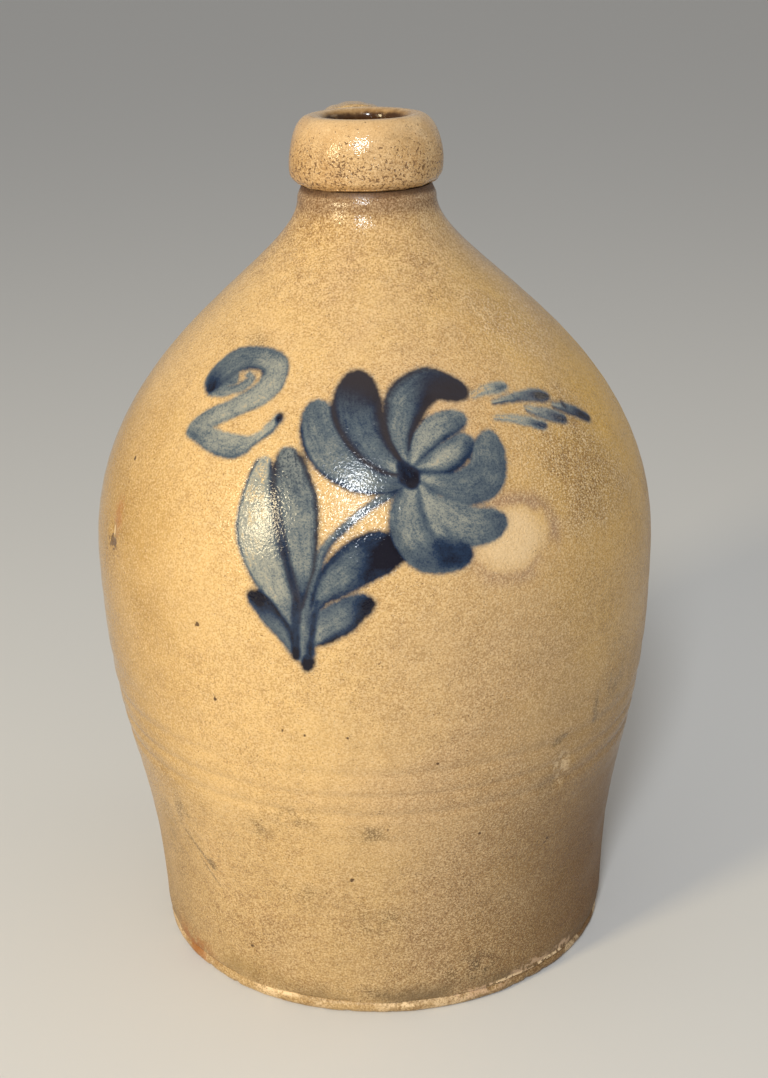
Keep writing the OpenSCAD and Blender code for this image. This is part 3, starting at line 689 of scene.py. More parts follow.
class Finish:
    """A material or node group under construction, with short calls for its nodes.

    Its base is the colour so far, and each coat is laid over it.
    """

    def __init__(self, tree):
        self.tree = tree
        self.base = None

    @cached_property
    def place(self):
        """The place on the piece, in metres."""
        return self.node("ShaderNodeTexCoord").outputs["Object"]

    def node(self, kind, **settings):
        made = self.tree.nodes.new(kind)
        for key, value in settings.items():
            setattr(made, key, value)
        return made

    def join(self, target, value):
        if isinstance(value, bpy.types.NodeSocket):
            self.tree.links.new(value, target)
        elif value is not None:
            target.default_value = value

    def axes(self):
        """The place's three coordinates."""
        parts = self.node("ShaderNodeSeparateXYZ")
        self.join(parts.inputs[0], self.place)
        return parts.outputs

    def math(self, operation, a, b=None, clamp=False):
        made = self.node("ShaderNodeMath", operation=operation, use_clamp=clamp)
        for target, value in zip(made.inputs, (a, b)):
            self.join(target, value)
        return made.outputs[0]

    def chain(self, operation, values):
        """One operation from the first value on to the last."""
        total, *others = values
        for value in others:
            total = self.math(operation, total, value)
        return total

    def times(self, *values):
        return self.chain("MULTIPLY", values)

    def plus(self, *values):
        return self.chain("ADD", values)

    def most(self, *values):
        return self.chain("MAXIMUM", values)

    def minus(self, a, b):
        return self.math("SUBTRACT", a, b)

    def off_axis(self, x, y):
        """Distance from the jug's axis."""
        return self.math("SQRT", self.plus(self.times(x, x), self.times(y, y)))

    def vector(self, operation, a, b=None):
        """A length or a distance, or else a vector."""
        made = self.node("ShaderNodeVectorMath", operation=operation)
        self.join(made.inputs[0], a)
        self.join(made.inputs[1], b)
        return made.outputs["Value" if operation in ("DISTANCE", "LENGTH") else "Vector"]

    def scaled(self, where, *scale):
        """Coordinates multiplied along each axis."""
        made = self.node("ShaderNodeMapping")
        self.join(made.inputs["Vector"], where)
        made.inputs["Scale"].default_value = scale
        return made.outputs[0]

    def mix(self, amount, a, b, blend="MIX"):
        made = self.node("ShaderNodeMix", data_type="RGBA", blend_type=blend)
        self.join(made.inputs["Factor"], amount)
        self.join(made.inputs[6], a)
        self.join(made.inputs[7], b)
        return made.outputs[2]

    def coat(self, rgb, *amounts, blend="MIX"):
        """Lays a colour over the base, as strong as the product of its amounts."""
        self.base = self.mix(self.times(*amounts), self.base, flat(rgb), blend)

    def ramp(self, value, low, high, start=0.0, end=1.0):
        """A smooth change from start to end as a value goes from low to high."""
        made = self.node("ShaderNodeMapRange", interpolation_type="SMOOTHSTEP")
        for label, number in (("Value", value), ("From Min", low), ("From Max", high),
                              ("To Min", start), ("To Max", end)):
            self.join(made.inputs[label], number)
        return made.outputs[0]

    def grain(self, size, detail=2.0, rough=0.5, warp=0.0, where=None):
        """Cloudy noise from 0 to 1, with features of a size in metres."""
        made = self.node("ShaderNodeTexNoise")
        self.join(made.inputs["Vector"], self.place if where is None else where)
        for label, number in (("Scale", 1 / size), ("Detail", detail), ("Roughness", rough),
                              ("Distortion", warp)):
            self.join(made.inputs[label], number)
        return made.outputs["Fac"]

    def sway(self, by, *settings):
        """Cloudy noise to either side of zero, at most half of an amount."""
        return self.times(self.minus(self.grain(*settings), 0.5), by)

    def patch(self, degrees, height, wide, tall, radius=None):
        """Distance from an upright mark on the wall, where 1 is its edge. Sizes in millimetres."""
        away = self.vector("SUBTRACT", self.place, on_wall(degrees, height, radius))
        across, up = 1 / (wide * MM), 1 / (tall * MM)
        return self.vector("LENGTH", self.scaled(away, across, across, up))

    def streak(self, degrees, height, lean, wide, long):
        """Distance from a slanting mark on the wall, where 1 is its edge. Sizes in millimetres."""
        reach = 12
        lens = self.node("ShaderNodeMapping", vector_type="TEXTURE")
        self.join(lens.inputs["Vector"], self.place)
        lens.inputs["Location"].default_value = on_wall(degrees, height)
        lens.inputs["Rotation"].default_value = (0, math.radians(lean), math.radians(degrees))
        lens.inputs["Scale"].default_value = (wide * MM, reach * MM, long * MM)
        return self.vector("LENGTH", lens.outputs[0])

    def bumped(self, shader, height):
        """Gives a shader its small relief, from heights in metres."""
        bump = self.node("ShaderNodeBump")
        bump.inputs["Strength"].default_value = 1.0
        bump.inputs["Distance"].default_value = 1.0
        self.join(bump.inputs["Height"], height)
        self.join(shader.inputs["Normal"], bump.outputs[0])


# Marks on the wall: degrees round from the front, and then millimetres

# Iron spots: degrees, height and radius
IRON_SPOTS = [(-25.7, 134.1, 0.8), (-21.3, 133.1, 0.6), (-13.2, 132.9, 0.8), (-39.8, 142.1, 0.9),
              (-6.1, 90.9, 0.7), (3.6, 120.3, 0.6), (32.4, 69.0, 0.8), (-11.4, 99.8, 0.6),
              (13.5, 83.6, 0.7), (-41.0, 24.1, 0.9), (-14.1, 65.9, 1.0), (-2.4, 65.5, 0.7),
              (14.4, 53.4, 0.6), (31.9, 67.4, 0.8), (-42.5, 171.0, 1.1), (-70.0, 220.0, 1.0),
              (108.0, 150.0, 1.0), (151.0, 112.0, 1.3), (-118.0, 88.0, 1.0), (172.0, 205.0, 0.9),
              (-155.0, 165.0, 1.2)]
# Smoky smudges: degrees, height, half width, half height and strength
SMUDGES = [(14.0, 17.0, 17.0, 9.0, 0.9), (-12.0, 12.0, 30.0, 5.0, 0.6), (-26.5, 94.0, 14.0, 7.0, 0.6),
           (-9.8, 89.0, 10.0, 6.0, 0.7), (-34.0, 86.0, 9.0, 6.0, 0.6), (-8.3, 45.3, 14.0, 9.0, 0.6),
           (-26.6, 55.6, 12.0, 8.0, 0.5), (-49.5, 265.0, 12.0, 6.0, 0.6), (-58.0, 76.0, 7.0, 18.0, 0.7),
           (120.0, 60.0, 34.0, 30.0, 0.6), (-150.0, 34.0, 30.0, 16.0, 0.7),
           (-76.0, 180.0, 5.0, 20.0, 0.5), (30.0, 98.0, 9.0, 6.0, 0.5), (48.0, 130.0, 12.0, 30.0, 0.5),
           (-66.0, 60.0, 10.0, 30.0, 0.4)]
# Scratches: degrees, height, lean in degrees, half width, half length, and a factor on the ash
# colour, where over 1 is paler
SCRATCHES = [(-54.0, 61.0, -50.0, 0.9, 11.0, 0.42), (-47.6, 47.0, -22.0, 0.7, 7.5, 2.6),
             (-58.5, 72.0, -38.0, 0.7, 8.0, 2.4), (-50.5, 57.9, -30.0, 1.9, 3.0, 0.38),
             (-39.8, 142.9, -25.0, 0.5, 2.6, 0.36), (-52.0, 53.0, -42.0, 0.6, 9.0, 0.50),
             (41.5, 121.0, -4.0, 2.2, 9.0, 0.62), (31.0, 117.0, 70.0, 2.2, 5.0, 0.55)]
# Scuffs over the bead and bare places on it: degrees, height, half width and half height
SCUFFS = [(31.0, 8.0, 11.0, 3.0), (16.0, 5.0, 15.0, 2.6), (43.0, 8.2, 7.0, 2.2), (150.0, 7.0, 16.0, 3.0)]
BARE_PLACES = [(-35.0, 5.2, 12.0, 1.5), (24.0, 6.2, 9.0, 1.3), (38.0, 6.4, 12.0, 1.3),
               (-2.0, 4.4, 9.0, 1.3)]
# Other marks: degrees, height, half width and half height
KILN_MARK = (19.5, 203.0, 16.0, 12.0)
ROUGH_PATCH, BITTEN_PATCH = (40.5, 222.0, 30.0, 27.0), (46.0, 268.0, 26.0, 15.0)
SCAR, STAIN = (32.6, 103.0, 5.0, 9.0), (-70.0, 198.5, 4.5, 9.0)
CRACK, NICK = (-71.0, 187.5, 4.2, 2.6), (-71.5, 192.5, 1.4, 2.8)
FOOT_DIRT = (-44.0, 13.0, 26.0, 7.0)
# The middle of the toasted patch at the foot: degrees and height
TOASTED = (-64.0, 9.0)
# A smudge on the collar, whose last value is the radius that it lies at
COLLAR_SMOKE = (30.0, 334.0, 15.0, 4.0, 29.0)


class Glaze(Finish):
    """The salt glaze under construction, with the masks that its steps share."""

    def __init__(self, tree):
        super().__init__(tree)
        self.colours, self.shape = bpy.context.scene.jug_glaze, bpy.context.scene.jug_shape
        self.x, y, self.z = self.axes()
        neck = self.shape.neck_radius
        self.near_axis = self.ramp(self.off_axis(self.x, y), neck + 0.012, neck + 0.006)
        self.drift = self.minus(self.grain(0.036, 4.0, 0.6), 0.5)
        self.patches = self.grain(0.040, 3.0, 0.55)

    def strayed(self, value, by):
        """A value whose limits wander with the drift."""
        return self.plus(value, self.times(self.drift, by))

    def peeled(self):
        """Orange peel, a little flattened by the wheel, and the valleys between its pebbles."""
        g = self.colours
        wide = 1.35 * g.peel_size
        flattened = self.scaled(self.place, 1.0, 1.0, 1.15)
        self.peel = self.grain(g.peel_size, 1.5, 0.5, 0.6, where=flattened)
        veins = self.grain(wide, 2.0, 0.55, 0.8, where=flattened)
        self.valley = self.ramp(self.math("ABSOLUTE", self.minus(veins, 0.5)), 0.055, 0.0)
        swell = self.grain(wide, 0.4, 0.5, 0.6, where=flattened)
        self.fine = self.grain(0.90 * g.peel_size, 2.0, 0.65, 0.3, where=flattened)
        ring_grain = self.grain(0.05, where=self.scaled(self.place, 1.0, 1.0, 26.0))
        self.height = self.plus(self.times(swell, g.peel_depth), self.times(self.peel, 0.25 * g.peel_depth),
                                self.times(ring_grain, 0.03 * MM))

    def broad(self):
        """Yellower at the left, browner to the right and low down; painted shade at the edges and low in
        front.
        """
        g, x, z, ramp, strayed, coat = self.colours, self.x, self.z, self.ramp, self.strayed, self.coat
        cloudy = self.plus(self.grain(0.070, 3.0, 0.55, 0.6), self.times(x, 3.0))
        self.base = flat(g.buff)
        coat(g.tan, ramp(cloudy, 0.28, 0.72))

        # The right side, and painted shade at the left edge and low on the front
        self.right = ramp(strayed(x, 0.09), 0.005, 0.115)
        coat(g.amber, self.right, 0.90)
        # Painted shade: the left edge darker, where the body turns away from the light
        coat(shaded(g.amber, 0.53, 0.52, 0.75), ramp(strayed(x, 0.04), -0.070, -0.112, 0.0, 0.82))
        # Painted shade: the lower front darker, where the belly turns down away from the light
        coat(shaded(g.tan, 0.78), ramp(strayed(x, 0.10), -0.055, 0.020), ramp(z, 0.235, 0.170), 0.56)

        # Low down; the low right corner, browner and with painted shade; painted shade at the far right edge
        self.low = ramp(strayed(z, 0.09), 0.115, 0.0)
        coat(g.ash, self.low, 0.42)
        # Browner glaze and painted shade in the low right corner, on the side away from the light
        self.corner = self.times(ramp(strayed(x, 0.03), 0.000, 0.085), ramp(z, 0.17, 0.05))
        coat(shaded(g.ash, 0.60, 0.41, 0.15), self.corner, 0.95)
        # Painted shade and reflection: the far right edge darkened as if it mirrored dark surroundings
        coat(shaded(g.amber, 0.48, 0.42, 0.50), ramp(strayed(x, 0.02), 0.096, 0.113, 0.0, 0.55))

        # The flush under the collar, and painted shadow in the gap just under it, but not on the strap
        # beside them
        collar = self.shape.collar_height
        self.neck = self.times(ramp(strayed(z, 0.008), collar - 0.0125, collar - 0.0060), self.near_axis,
                               ramp(z, collar + 0.0010, collar - 0.0005))
        coat(g.flush, self.neck, 0.66)
        # Painted shadow: a dark band on the neck just under the collar's overhang
        self.joint = self.times(ramp(strayed(z, 0.004), collar - 0.0034, collar - 0.0012),
                                self.near_axis, ramp(z, collar + 0.0012, collar + 0.0006))
        coat(shaded(g.iron, 1.5), self.joint, 0.86)

        # A faint mottle all over
        coat(g.ash, ramp(self.grain(0.007, 3.0, 0.6), 0.36, 0.70), 0.13)

    def marked(self):
        """The pale kiln mark in its smoky ring, rough patches, a scar, scratches and smudges."""
        g, ramp, coat = self.colours, self.ramp, self.coat
        uneven = self.sway(0.45, 0.012, 3.0)
        self.mark = self.plus(self.patch(*KILN_MARK), uneven)
        ring = self.times(ramp(self.mark, 0.84, 1.10), ramp(self.mark, 1.62, 1.12),
                          ramp(self.grain(0.014), 0.30, 0.56),
                          ramp(self.plus(self.x, self.z), 0.215, 0.262, 0.60, 1.0))
        coat(shaded(g.pale, 1.06), ramp(self.mark, 1.18, 0.50, 0.0, 0.58))
        coat(shaded(g.flush, 1.25), ring, 0.74)

        # Rough patches, where the salt bit deeper, and a pale scar by the dent low on the right
        self.rough_patch = ramp(self.strayed(self.patch(*ROUGH_PATCH), 3.2), 1.35, 0.25)
        coat(g.ash, self.rough_patch, 0.18)
        self.bitten = ramp(self.strayed(self.patch(*BITTEN_PATCH), 3.2), 1.4, 0.3)
        coat(g.pale, ramp(self.plus(self.patch(*SCAR), uneven), 1.15, 0.6),
             ramp(self.grain(0.004, 3.0, 0.6), 0.44, 0.56), 0.65)

        # Scratches with torn edges, and smudges
        torn = self.sway(2.2, 0.0035, 3.0, 0.6)
        for *lie, tone in SCRATCHES:
            coat(shaded(g.ash, tone), ramp(self.plus(self.streak(*lie), torn), 1.25, 0.45, 0.0, 0.55))
        smudges = [ramp(self.patch(*lie), 1.2, 0.1, 0.0, strength) for *lie, strength in SMUDGES]
        coat(shaded(g.ash, 0.40), self.most(*smudges), ramp(self.grain(0.006, 4.0, 0.6), 0.36, 0.66),
             ramp(self.peel, 0.62, 0.40, 0.45, 1.0))

    def grained(self):
        """Dark valleys and pale pebbles, partly painted shade and glints, denser toward the foot, the neck
        and the right.
        """
        g, x, z, ramp, coat = self.colours, self.x, self.z, self.ramp, self.coat
        dense = self.times(self.most(ramp(z, 0.13, 0.02, 0.55, 0.78), ramp(z, 0.262, 0.306, 0.55, 1.0),
                                     self.rough_patch, self.times(self.bitten, 0.66),
                                     self.times(self.right, 0.70)),
                           ramp(self.patches, 0.34, 0.62, 0.62, 1.0), ramp(self.mark, 0.8, 1.1, 0.50, 1.0))
        # Darker valleys: partly the glaze's own tone, partly painted shade of the orange peel's relief
        self.sunk = ramp(self.peel, 0.53, 0.37)
        coat((0.57, 0.49, 0.39), self.sunk, dense, blend="MULTIPLY")
        speckled = self.most(self.times(self.near_axis, ramp(z, 0.280, 0.304, 0.0, 0.70)),
                             self.times(self.most(self.rough_patch, self.times(self.bitten, 0.7)), 0.30))
        coat((0.40, 0.31, 0.22), ramp(self.fine, 0.50, 0.36), speckled, blend="MULTIPLY")

        # Pale crests of the pebbles, partly paler glaze and partly painted glints, strongest in the rough
        # patches; iron in the crooked valleys and in pits
        coat(g.pale, ramp(self.peel, 0.50, 0.64),
             ramp(self.most(self.rough_patch, self.bitten), 0.0, 1.0, 0.40, 0.85),
             ramp(self.neck, 0.0, 1.0, 1.0, 0.70), ramp(self.corner, 0.2, 1.0, 1.0, 0.25),
             ramp(x, 0.095, 0.112, 1.0, 0.3), ramp(self.joint, 0.0, 0.7, 1.0, 0.10))
        coat(shaded(g.iron, 2.4), self.valley, ramp(self.grain(0.0045), 0.42, 0.62),
             ramp(dense, 0.30, 0.95, 0.10, 0.95))
        crowd = self.plus(self.times(dense, 0.10), self.times(self.grain(0.011, 3.0, 0.6), 0.12))
        pit = ramp(self.minus(self.fine, self.minus(0.755, crowd)), 0.0, 0.045)
        coat(shaded(g.iron, 1.5), pit, 0.80)

        # Coarser relief in the rough patches and at the right, calmer relief toward the neck, and pits
        coarse = self.times(self.most(self.times(self.rough_patch, 1.9), self.times(self.right, 0.9),
                                      self.times(self.bitten, 1.5)),
                            ramp(self.patches, 0.36, 0.60, 0.35, 1.0))
        calm = ramp(z, 0.285, 0.300, 1.0, 0.65)
        self.height = self.minus(self.times(self.height, self.plus(coarse, calm)),
                                 self.times(pit, 0.04 * MM))

    def spotted(self):
        """Iron spots, the nick in the left of the belly, its crack and the stain above it."""
        g = self.colours
        jitter = self.sway(1.9, 0.0015)
        spots = []
        for degrees, high, radius in IRON_SPOTS:
            away = self.vector("DISTANCE", self.place, on_wall(degrees, high))
            spots.append(self.ramp(self.plus(self.math("DIVIDE", away, radius * MM), jitter), 1.10, 0.70))
        self.coat(g.iron, self.most(*spots), 0.90)
        for lie, shake, outer, inner, rgb, amount in (
                (STAIN, 1.0, 1.3, 0.2, shaded(g.rust, 1.2), 0.55),
                (CRACK, 1.5, 1.1, 0.7, shaded(g.iron, 1.2), 0.80),
                (NICK, 0.5, 1.1, 0.8, shaded(g.pale, 1.05), 0.75)):
            far = self.plus(self.patch(*lie), self.times(jitter, shake))
            self.coat(rgb, self.ramp(far, outer, inner), amount)

    def worn(self):
        """The foot: grime in the line above the bead, worn pale stretches, a toasted bare patch."""
        g, x, z, ramp, coat = self.colours, self.x, self.z, self.ramp, self.coat
        along = self.grain(0.030)
        coat(shaded(g.ash, 0.50), ramp(z, 0.0045, 0.0062), ramp(z, 0.0170, 0.0072),
             ramp(along, 0.40, 0.66, 0.05, 0.75), ramp(x, 0.02, 0.06, 1.0, 0.5))
        coat(g.pale, ramp(z, 0.0062, 0.0048), ramp(self.grain(0.022, 4.0, 0.6), 0.50, 0.58),
             ramp(self.peel, 0.36, 0.50, 0.3, 1.0), 0.65)

        # Scuffs and bare places, with flaked edges
        flaked = ramp(self.grain(0.0035, 4.0, 0.65, 0.5), 0.47, 0.53)
        for lies, inner, rgb, amount in ((SCUFFS, 0.6, shaded(g.pale, 0.95, 0.86, 0.92), 0.52),
                                         (BARE_PLACES, 0.5, shaded(g.pale, 1.12), 0.85)):
            for lie in lies:
                coat(rgb, ramp(self.patch(*lie), 1.2, inner), flaked, amount)

        # Dirt and toasted clay at the left
        coat(shaded(g.ash, 0.85, 0.80, 0.45), ramp(self.patch(*FOOT_DIRT), 1.15, 0.3, 0.0, 0.55),
             ramp(along, 0.30, 0.60))
        toast_far = self.vector("DISTANCE", self.place, on_wall(*TOASTED))
        coat(g.rust, ramp(toast_far, 0.020, 0.004), ramp(z, 0.018, 0.007),
             ramp(self.grain(0.006, 3.0), 0.34, 0.52), 0.85)

    def roughness(self):
        """Glossy, and duller to the right, in the joint under the collar and low down."""
        gloss = self.colours.gloss
        rough = self.plus(self.ramp(self.patches, 0.35, 0.68, gloss - 0.03, gloss + 0.07),
                          self.times(self.ramp(self.right, 0.4, 1.0), 0.16), self.times(self.joint, 0.35))
        return self.math("ADD", rough, self.times(self.low, 0.32), clamp=True)


def salt_glaze():
    """Node group of the salt glaze: colour, roughness and height at a place on the clay."""
    found = bpy.data.node_groups.get("Salt Glaze")
    if found:
        return found
    tree = bpy.data.node_groups.new("Salt Glaze", "ShaderNodeTree")
    glaze = Glaze(tree)
    for layer in (glaze.peeled, glaze.broad, glaze.marked, glaze.grained, glaze.spotted, glaze.worn):
        layer()
    outputs = (("Color", "NodeSocketColor", glaze.base), ("Roughness", "NodeSocketFloat", glaze.roughness()),
               ("Height", "NodeSocketFloat", glaze.height), ("Grain", "NodeSocketFloat", glaze.sunk))
    for label, kind, _ in outputs:
        tree.interface.new_socket(label, in_out="OUTPUT", socket_type=kind)
    out = glaze.node("NodeGroupOutput")
    for label, _, value in outputs:
        glaze.join(out.inputs[label], value)
    return tree


def new_finish(name):
    """A fresh material with its Principled shader, and the calls to build it."""
    material = bpy.data.materials.new(name)
    material.use_nodes = True
    shader = next(n for n in material.node_tree.nodes if n.type == "BSDF_PRINCIPLED")
    shader.inputs["IOR"].default_value = 1.5
    shader.inputs["Specular IOR Level"].default_value = 0.31
    return material, Finish(material.node_tree), shader


def glazed(f):
    """The outputs of the salt glaze group, placed in a material."""
    return f.node("ShaderNodeGroup", node_tree=salt_glaze()).outputs


def stoneware_material():
    """Salt glaze over buff stoneware."""
    found = bpy.data.materials.get("Salt Glazed Stoneware")
    if found:
        return found
    material, f, shader = new_finish("Salt Glazed Stoneware")
    glaze = glazed(f)
    f.join(shader.inputs["Base Color"], glaze["Color"])
    f.join(shader.inputs["Roughness"], glaze["Roughness"])
    f.bumped(shader, glaze["Height"])
    return material


def collar_material():
    """Iron-flecked tan glaze on the collar, painted light on its top and painted shade at its sides, brown
    slip in the throat.
    """
    g, s = bpy.context.scene.jug_glaze, bpy.context.scene.jug_shape
    rim, throat = s.rim_height, s.throat_radius
    material, f, shader = new_finish("Iron Flecked Collar")
    glaze = glazed(f)
    x, y, z = f.axes()
    f.base = glaze["Color"]
    # Painted light: paler and cooler toward the rim, on the roll's upward face
    f.coat(shaded(g.buff, 1.12, 1.16, 1.45), f.ramp(z, rim - 0.014, rim - 0.001, 0.20, 0.64))
    # Rusty iron speckle, and painted shade: orange-brown at the roll's left and right sides
    rusty = f.times(f.ramp(f.grain(0.011, 3.0), 0.40, 0.66), 0.30)
    f.coat(shaded(g.rust, 1.25, 1.75, 2.2),
           f.most(rusty, f.ramp(x, -0.020, -0.030, 0.0, 0.36), f.ramp(x, 0.022, 0.030, 0.0, 0.26)))
    smeared = f.scaled(f.place, 1.0, 1.0, 3.5)
    f.coat(shaded(g.ash, 0.38), f.ramp(f.patch(*COLLAR_SMOKE), 1.2, 0.1),
           f.ramp(f.grain(0.005, 4.0, where=smeared), 0.40, 0.64), 0.28)

    # Iron flecks, thickest on the lower half of the roll
    crowd = f.plus(f.times(f.ramp(z, rim - 0.002, rim - 0.021), 0.11),
                   f.times(f.grain(0.008, 3.0, 0.6), 0.16))
    fleck = f.ramp(f.minus(f.grain(0.0011, 2.0, 0.6, 0.4), f.minus(0.735, crowd)), 0.0, 0.05)
    f.coat(shaded(g.iron, 1.5), fleck, 0.82)

    # Brown on the edge of the throat, and the slip that coats it
    far, uneven = f.off_axis(x, y), f.sway(0.004, 0.004, 3.0)
    f.coat(shaded(g.rust, 0.60, 0.80, 1.0), f.ramp(f.plus(far, uneven), throat + 0.0034, throat + 0.0006),
           f.ramp(f.grain(0.005, 3.0), 0.30, 0.60, 0.70, 1.0), 0.80)
    deep = f.ramp(f.plus(far, f.times(uneven, 0.5)), throat + 0.0010, throat - 0.0001)
    f.coat(g.brown_slip, deep)
    f.join(shader.inputs["Base Color"], f.base)
    f.join(shader.inputs["Roughness"], f.minus(glaze["Roughness"], f.plus(f.times(deep, 0.04), 0.03)))
    relief = f.times(glaze["Height"], f.minus(0.70, f.times(deep, 0.5)))
    f.bumped(shader, f.minus(relief, f.times(fleck, 0.06 * MM)))
    return material


def lining_material():
    """Glossy dark brown slip with lighter streaks where it ran thin."""
    g = bpy.context.scene.jug_glaze
    material, f, shader = new_finish("Brown Slip")
    runs = f.ramp(f.grain(0.006, 3.0, where=f.scaled(f.place, 1.0, 1.0, 0.25)), 0.40, 0.72)
    f.base = flat(g.brown_slip)
    f.coat(g.rust, runs, 0.5)
    f.join(shader.inputs["Base Color"], f.base)
    f.join(shader.inputs["Roughness"], f.ramp(runs, 0.0, 1.0, 0.10, 0.24))
    f.bumped(shader, f.times(f.grain(0.0022), 0.10 * MM))
    return material


def cobalt_material():
    """Brushed cobalt slip under the salt glaze, fading into bare glaze at its edge."""
    found = bpy.data.materials.get("Brushed Cobalt")
    if found:
        return found
    c = bpy.context.scene.jug_cobalt
    material, f, shader = new_finish("Brushed Cobalt")
    glaze = glazed(f)
    slip, umber, edge = (f.node("ShaderNodeAttribute", attribute_name=label).outputs["Fac"]
                         for label in ("slip", "umber", "brush_edge"))
    along = f.scaled(f.node("ShaderNodeUVMap", uv_map="brush_run").outputs[0], 7.0, 60.0, 1.0)

    # What stirs the slip, each by an amount and by more where it lies thin
    thin = f.ramp(slip, 0.95, 0.25)
    streaks = f.minus(f.grain(1.0, 3.0, 0.6, 0.6, where=along), 0.5)
    blots, cloud = f.minus(f.grain(0.0016, 3.0, 0.65), 0.5), f.minus(f.grain(0.006, 3.0, 0.55), 0.5)
    # Darker in the glaze's valleys: partly the slip's own pooling, partly painted shade of the relief
    sunk = f.minus(glaze["Grain"], 0.25)
    stirred = [f.times(stir, f.plus(f.times(thin, more), amount)) for stir, amount, more in (
        (streaks, 0.16, 0.22), (blots, 0.12, 0.16), (cloud, 0.34, 0.0), (sunk, 0.04, 0.10))]
    load = f.math("ADD", slip, f.plus(*stirred), clamp=True)

    tones = f.node("ShaderNodeValToRGB")
    f.join(tones.inputs[0], load)
    stops = tones.color_ramp.elements
    stops[0].position, stops[0].color = 0.0, (0.48, 0.385, 0.235, 1.0)
    stops[1].position, stops[1].color = 0.96, flat(c.ink)
    for spot, value in ((0.24, c.wash), (0.52, c.slate), (0.78, c.navy)):
        stops.new(spot).color = flat(value)
    burnt = f.mix(f.times(umber, f.ramp(load, 0.35, 0.8)), tones.outputs[0], flat(c.umber))
    spread = f.plus(edge, f.sway(1.5, 0.0018, 3.0, 0.6))
    dry = f.times(f.ramp(spread, -0.90, 0.80), f.ramp(load, 0.02, 0.22))
    f.base = glaze["Color"]
    f.coat(c.slate, f.ramp(spread, -2.0, 0.2), f.ramp(slip, 0.2, 0.8, 0.05, 0.34))
    f.join(shader.inputs["Base Color"], f.mix(dry, f.base, burnt))
    f.join(shader.inputs["Roughness"], f.minus(glaze["Roughness"], f.times(dry, 0.03)))
    f.bumped(shader, f.times(glaze["Height"], f.ramp(dry, 0.0, 1.0, 1.0, 0.40)))
    return material


def plain_material(name, rgb, roughness):
    """A plain matt finish for the stage."""
    material, _, shader = new_finish(name)
    shader.inputs["Base Color"].default_value = flat(rgb)
    shader.inputs["Roughness"].default_value = roughness
    return material


# The pieces

class JUG_OT_foot(bpy.types.Operator):
    """Turn the floor of the jug with the chipped bead round its foot"""
    bl_idname = "jug.foot"
    bl_label = "Foot"
    bl_options = {"REGISTER", "UNDO"}

    def execute(self, context):
        s = context.scene.jug_shape
        foot, floor = s.foot_radius / MM, s.floor_thickness / MM
        middle = foot - BEAD_INSET - BEAD_RADIUS
        bead = [(middle + BEAD_RADIUS * math.cos(a), BEAD_RADIUS + BEAD_RADIUS * math.sin(a))
                for a in arc(-78, 58, 12)]
        joint = foot - s.wall_thickness / MM
        # The underside, the flank above the bead and the top, which is keyed to the wall
        inner = [(joint * i / 12, 0.0) for i in range(12)]
        flank = [(foot - inset, z) for inset, z in ((0.85, 6.0), (0.66, 6.6), (0.36, 7.2), (0.1, 8.0),
                                                    (0.0, floor))]
        edge = joint - KEY_HALF_WIDTH
        top = [(edge - edge * i / 12, floor) for i in range(13)]
        points = inner + [(bead[0][0], 0.0)] + bead + flank + lute(joint, floor)[:2] + top
        bm = spun(points, 480)
        worked(bm, chipped, thrown)
        piece("turned_foot", bm, stoneware_material(), "foot_slab")
        return {"FINISHED"}


class JUG_OT_lower_wall(bpy.types.Operator):
    """Throw the lower wall, from the floor to the widest part of the belly"""
    bl_idname = "jug.lower_wall"
    bl_label = "Lower Wall"
    bl_options = {"REGISTER", "UNDO"}

    def execute(self, context):
        s = context.scene.jug_shape
        lower, _ = section()
        wall, floor = s.wall_thickness / MM, s.floor_thickness / MM
        points = (side_of(lower, 128) + lute(s.belly_radius / MM - wall / 2, s.belly_height / MM)
                  + inside_of(lower, wall, floor)[::-1] + lute(s.foot_radius / MM - wall, floor)[::-1])
        bm = spun(points, s.turns)
        worked(bm, thrown)
        piece("thrown_lower_wall", bm, stoneware_material(), "lower_wall")
        return {"FINISHED"}


class JUG_OT_shoulder(bpy.types.Operator):
    """Throw the closed-in upper section: shoulder, cone and neck"""
    bl_idname = "jug.shoulder"
    bl_label = "Shoulder"
    bl_options = {"REGISTER", "UNDO"}

    def execute(self, context):
        s = context.scene.jug_shape
        _, upper = section()
        wall, neck_z = s.wall_thickness / MM, s.neck_height / MM
        neck, top = s.neck_radius / MM, s.collar_height / MM
        bore = neck - wall
        narrow = [(neck - NECK_TAPER / 2 * (1 - math.cos(math.pi * i / 5)),
                   neck_z + (top - neck_z) * i / 5) for i in range(1, 6)]
        points = (side_of(upper, 150) + narrow + lute((neck - NECK_TAPER + bore) / 2, top)
                  + [(bore, top)] + side_of(upper, INSIDE_STEPS, wall)[::-1]
                  + lute(s.belly_radius / MM - wall / 2, s.belly_height / MM)[::-1])
        bm = spun(points, s.turns)
        worked(bm, thrown)
        piece("thrown_shoulder", bm, stoneware_material(), "shoulder_wall")
        return {"FINISHED"}


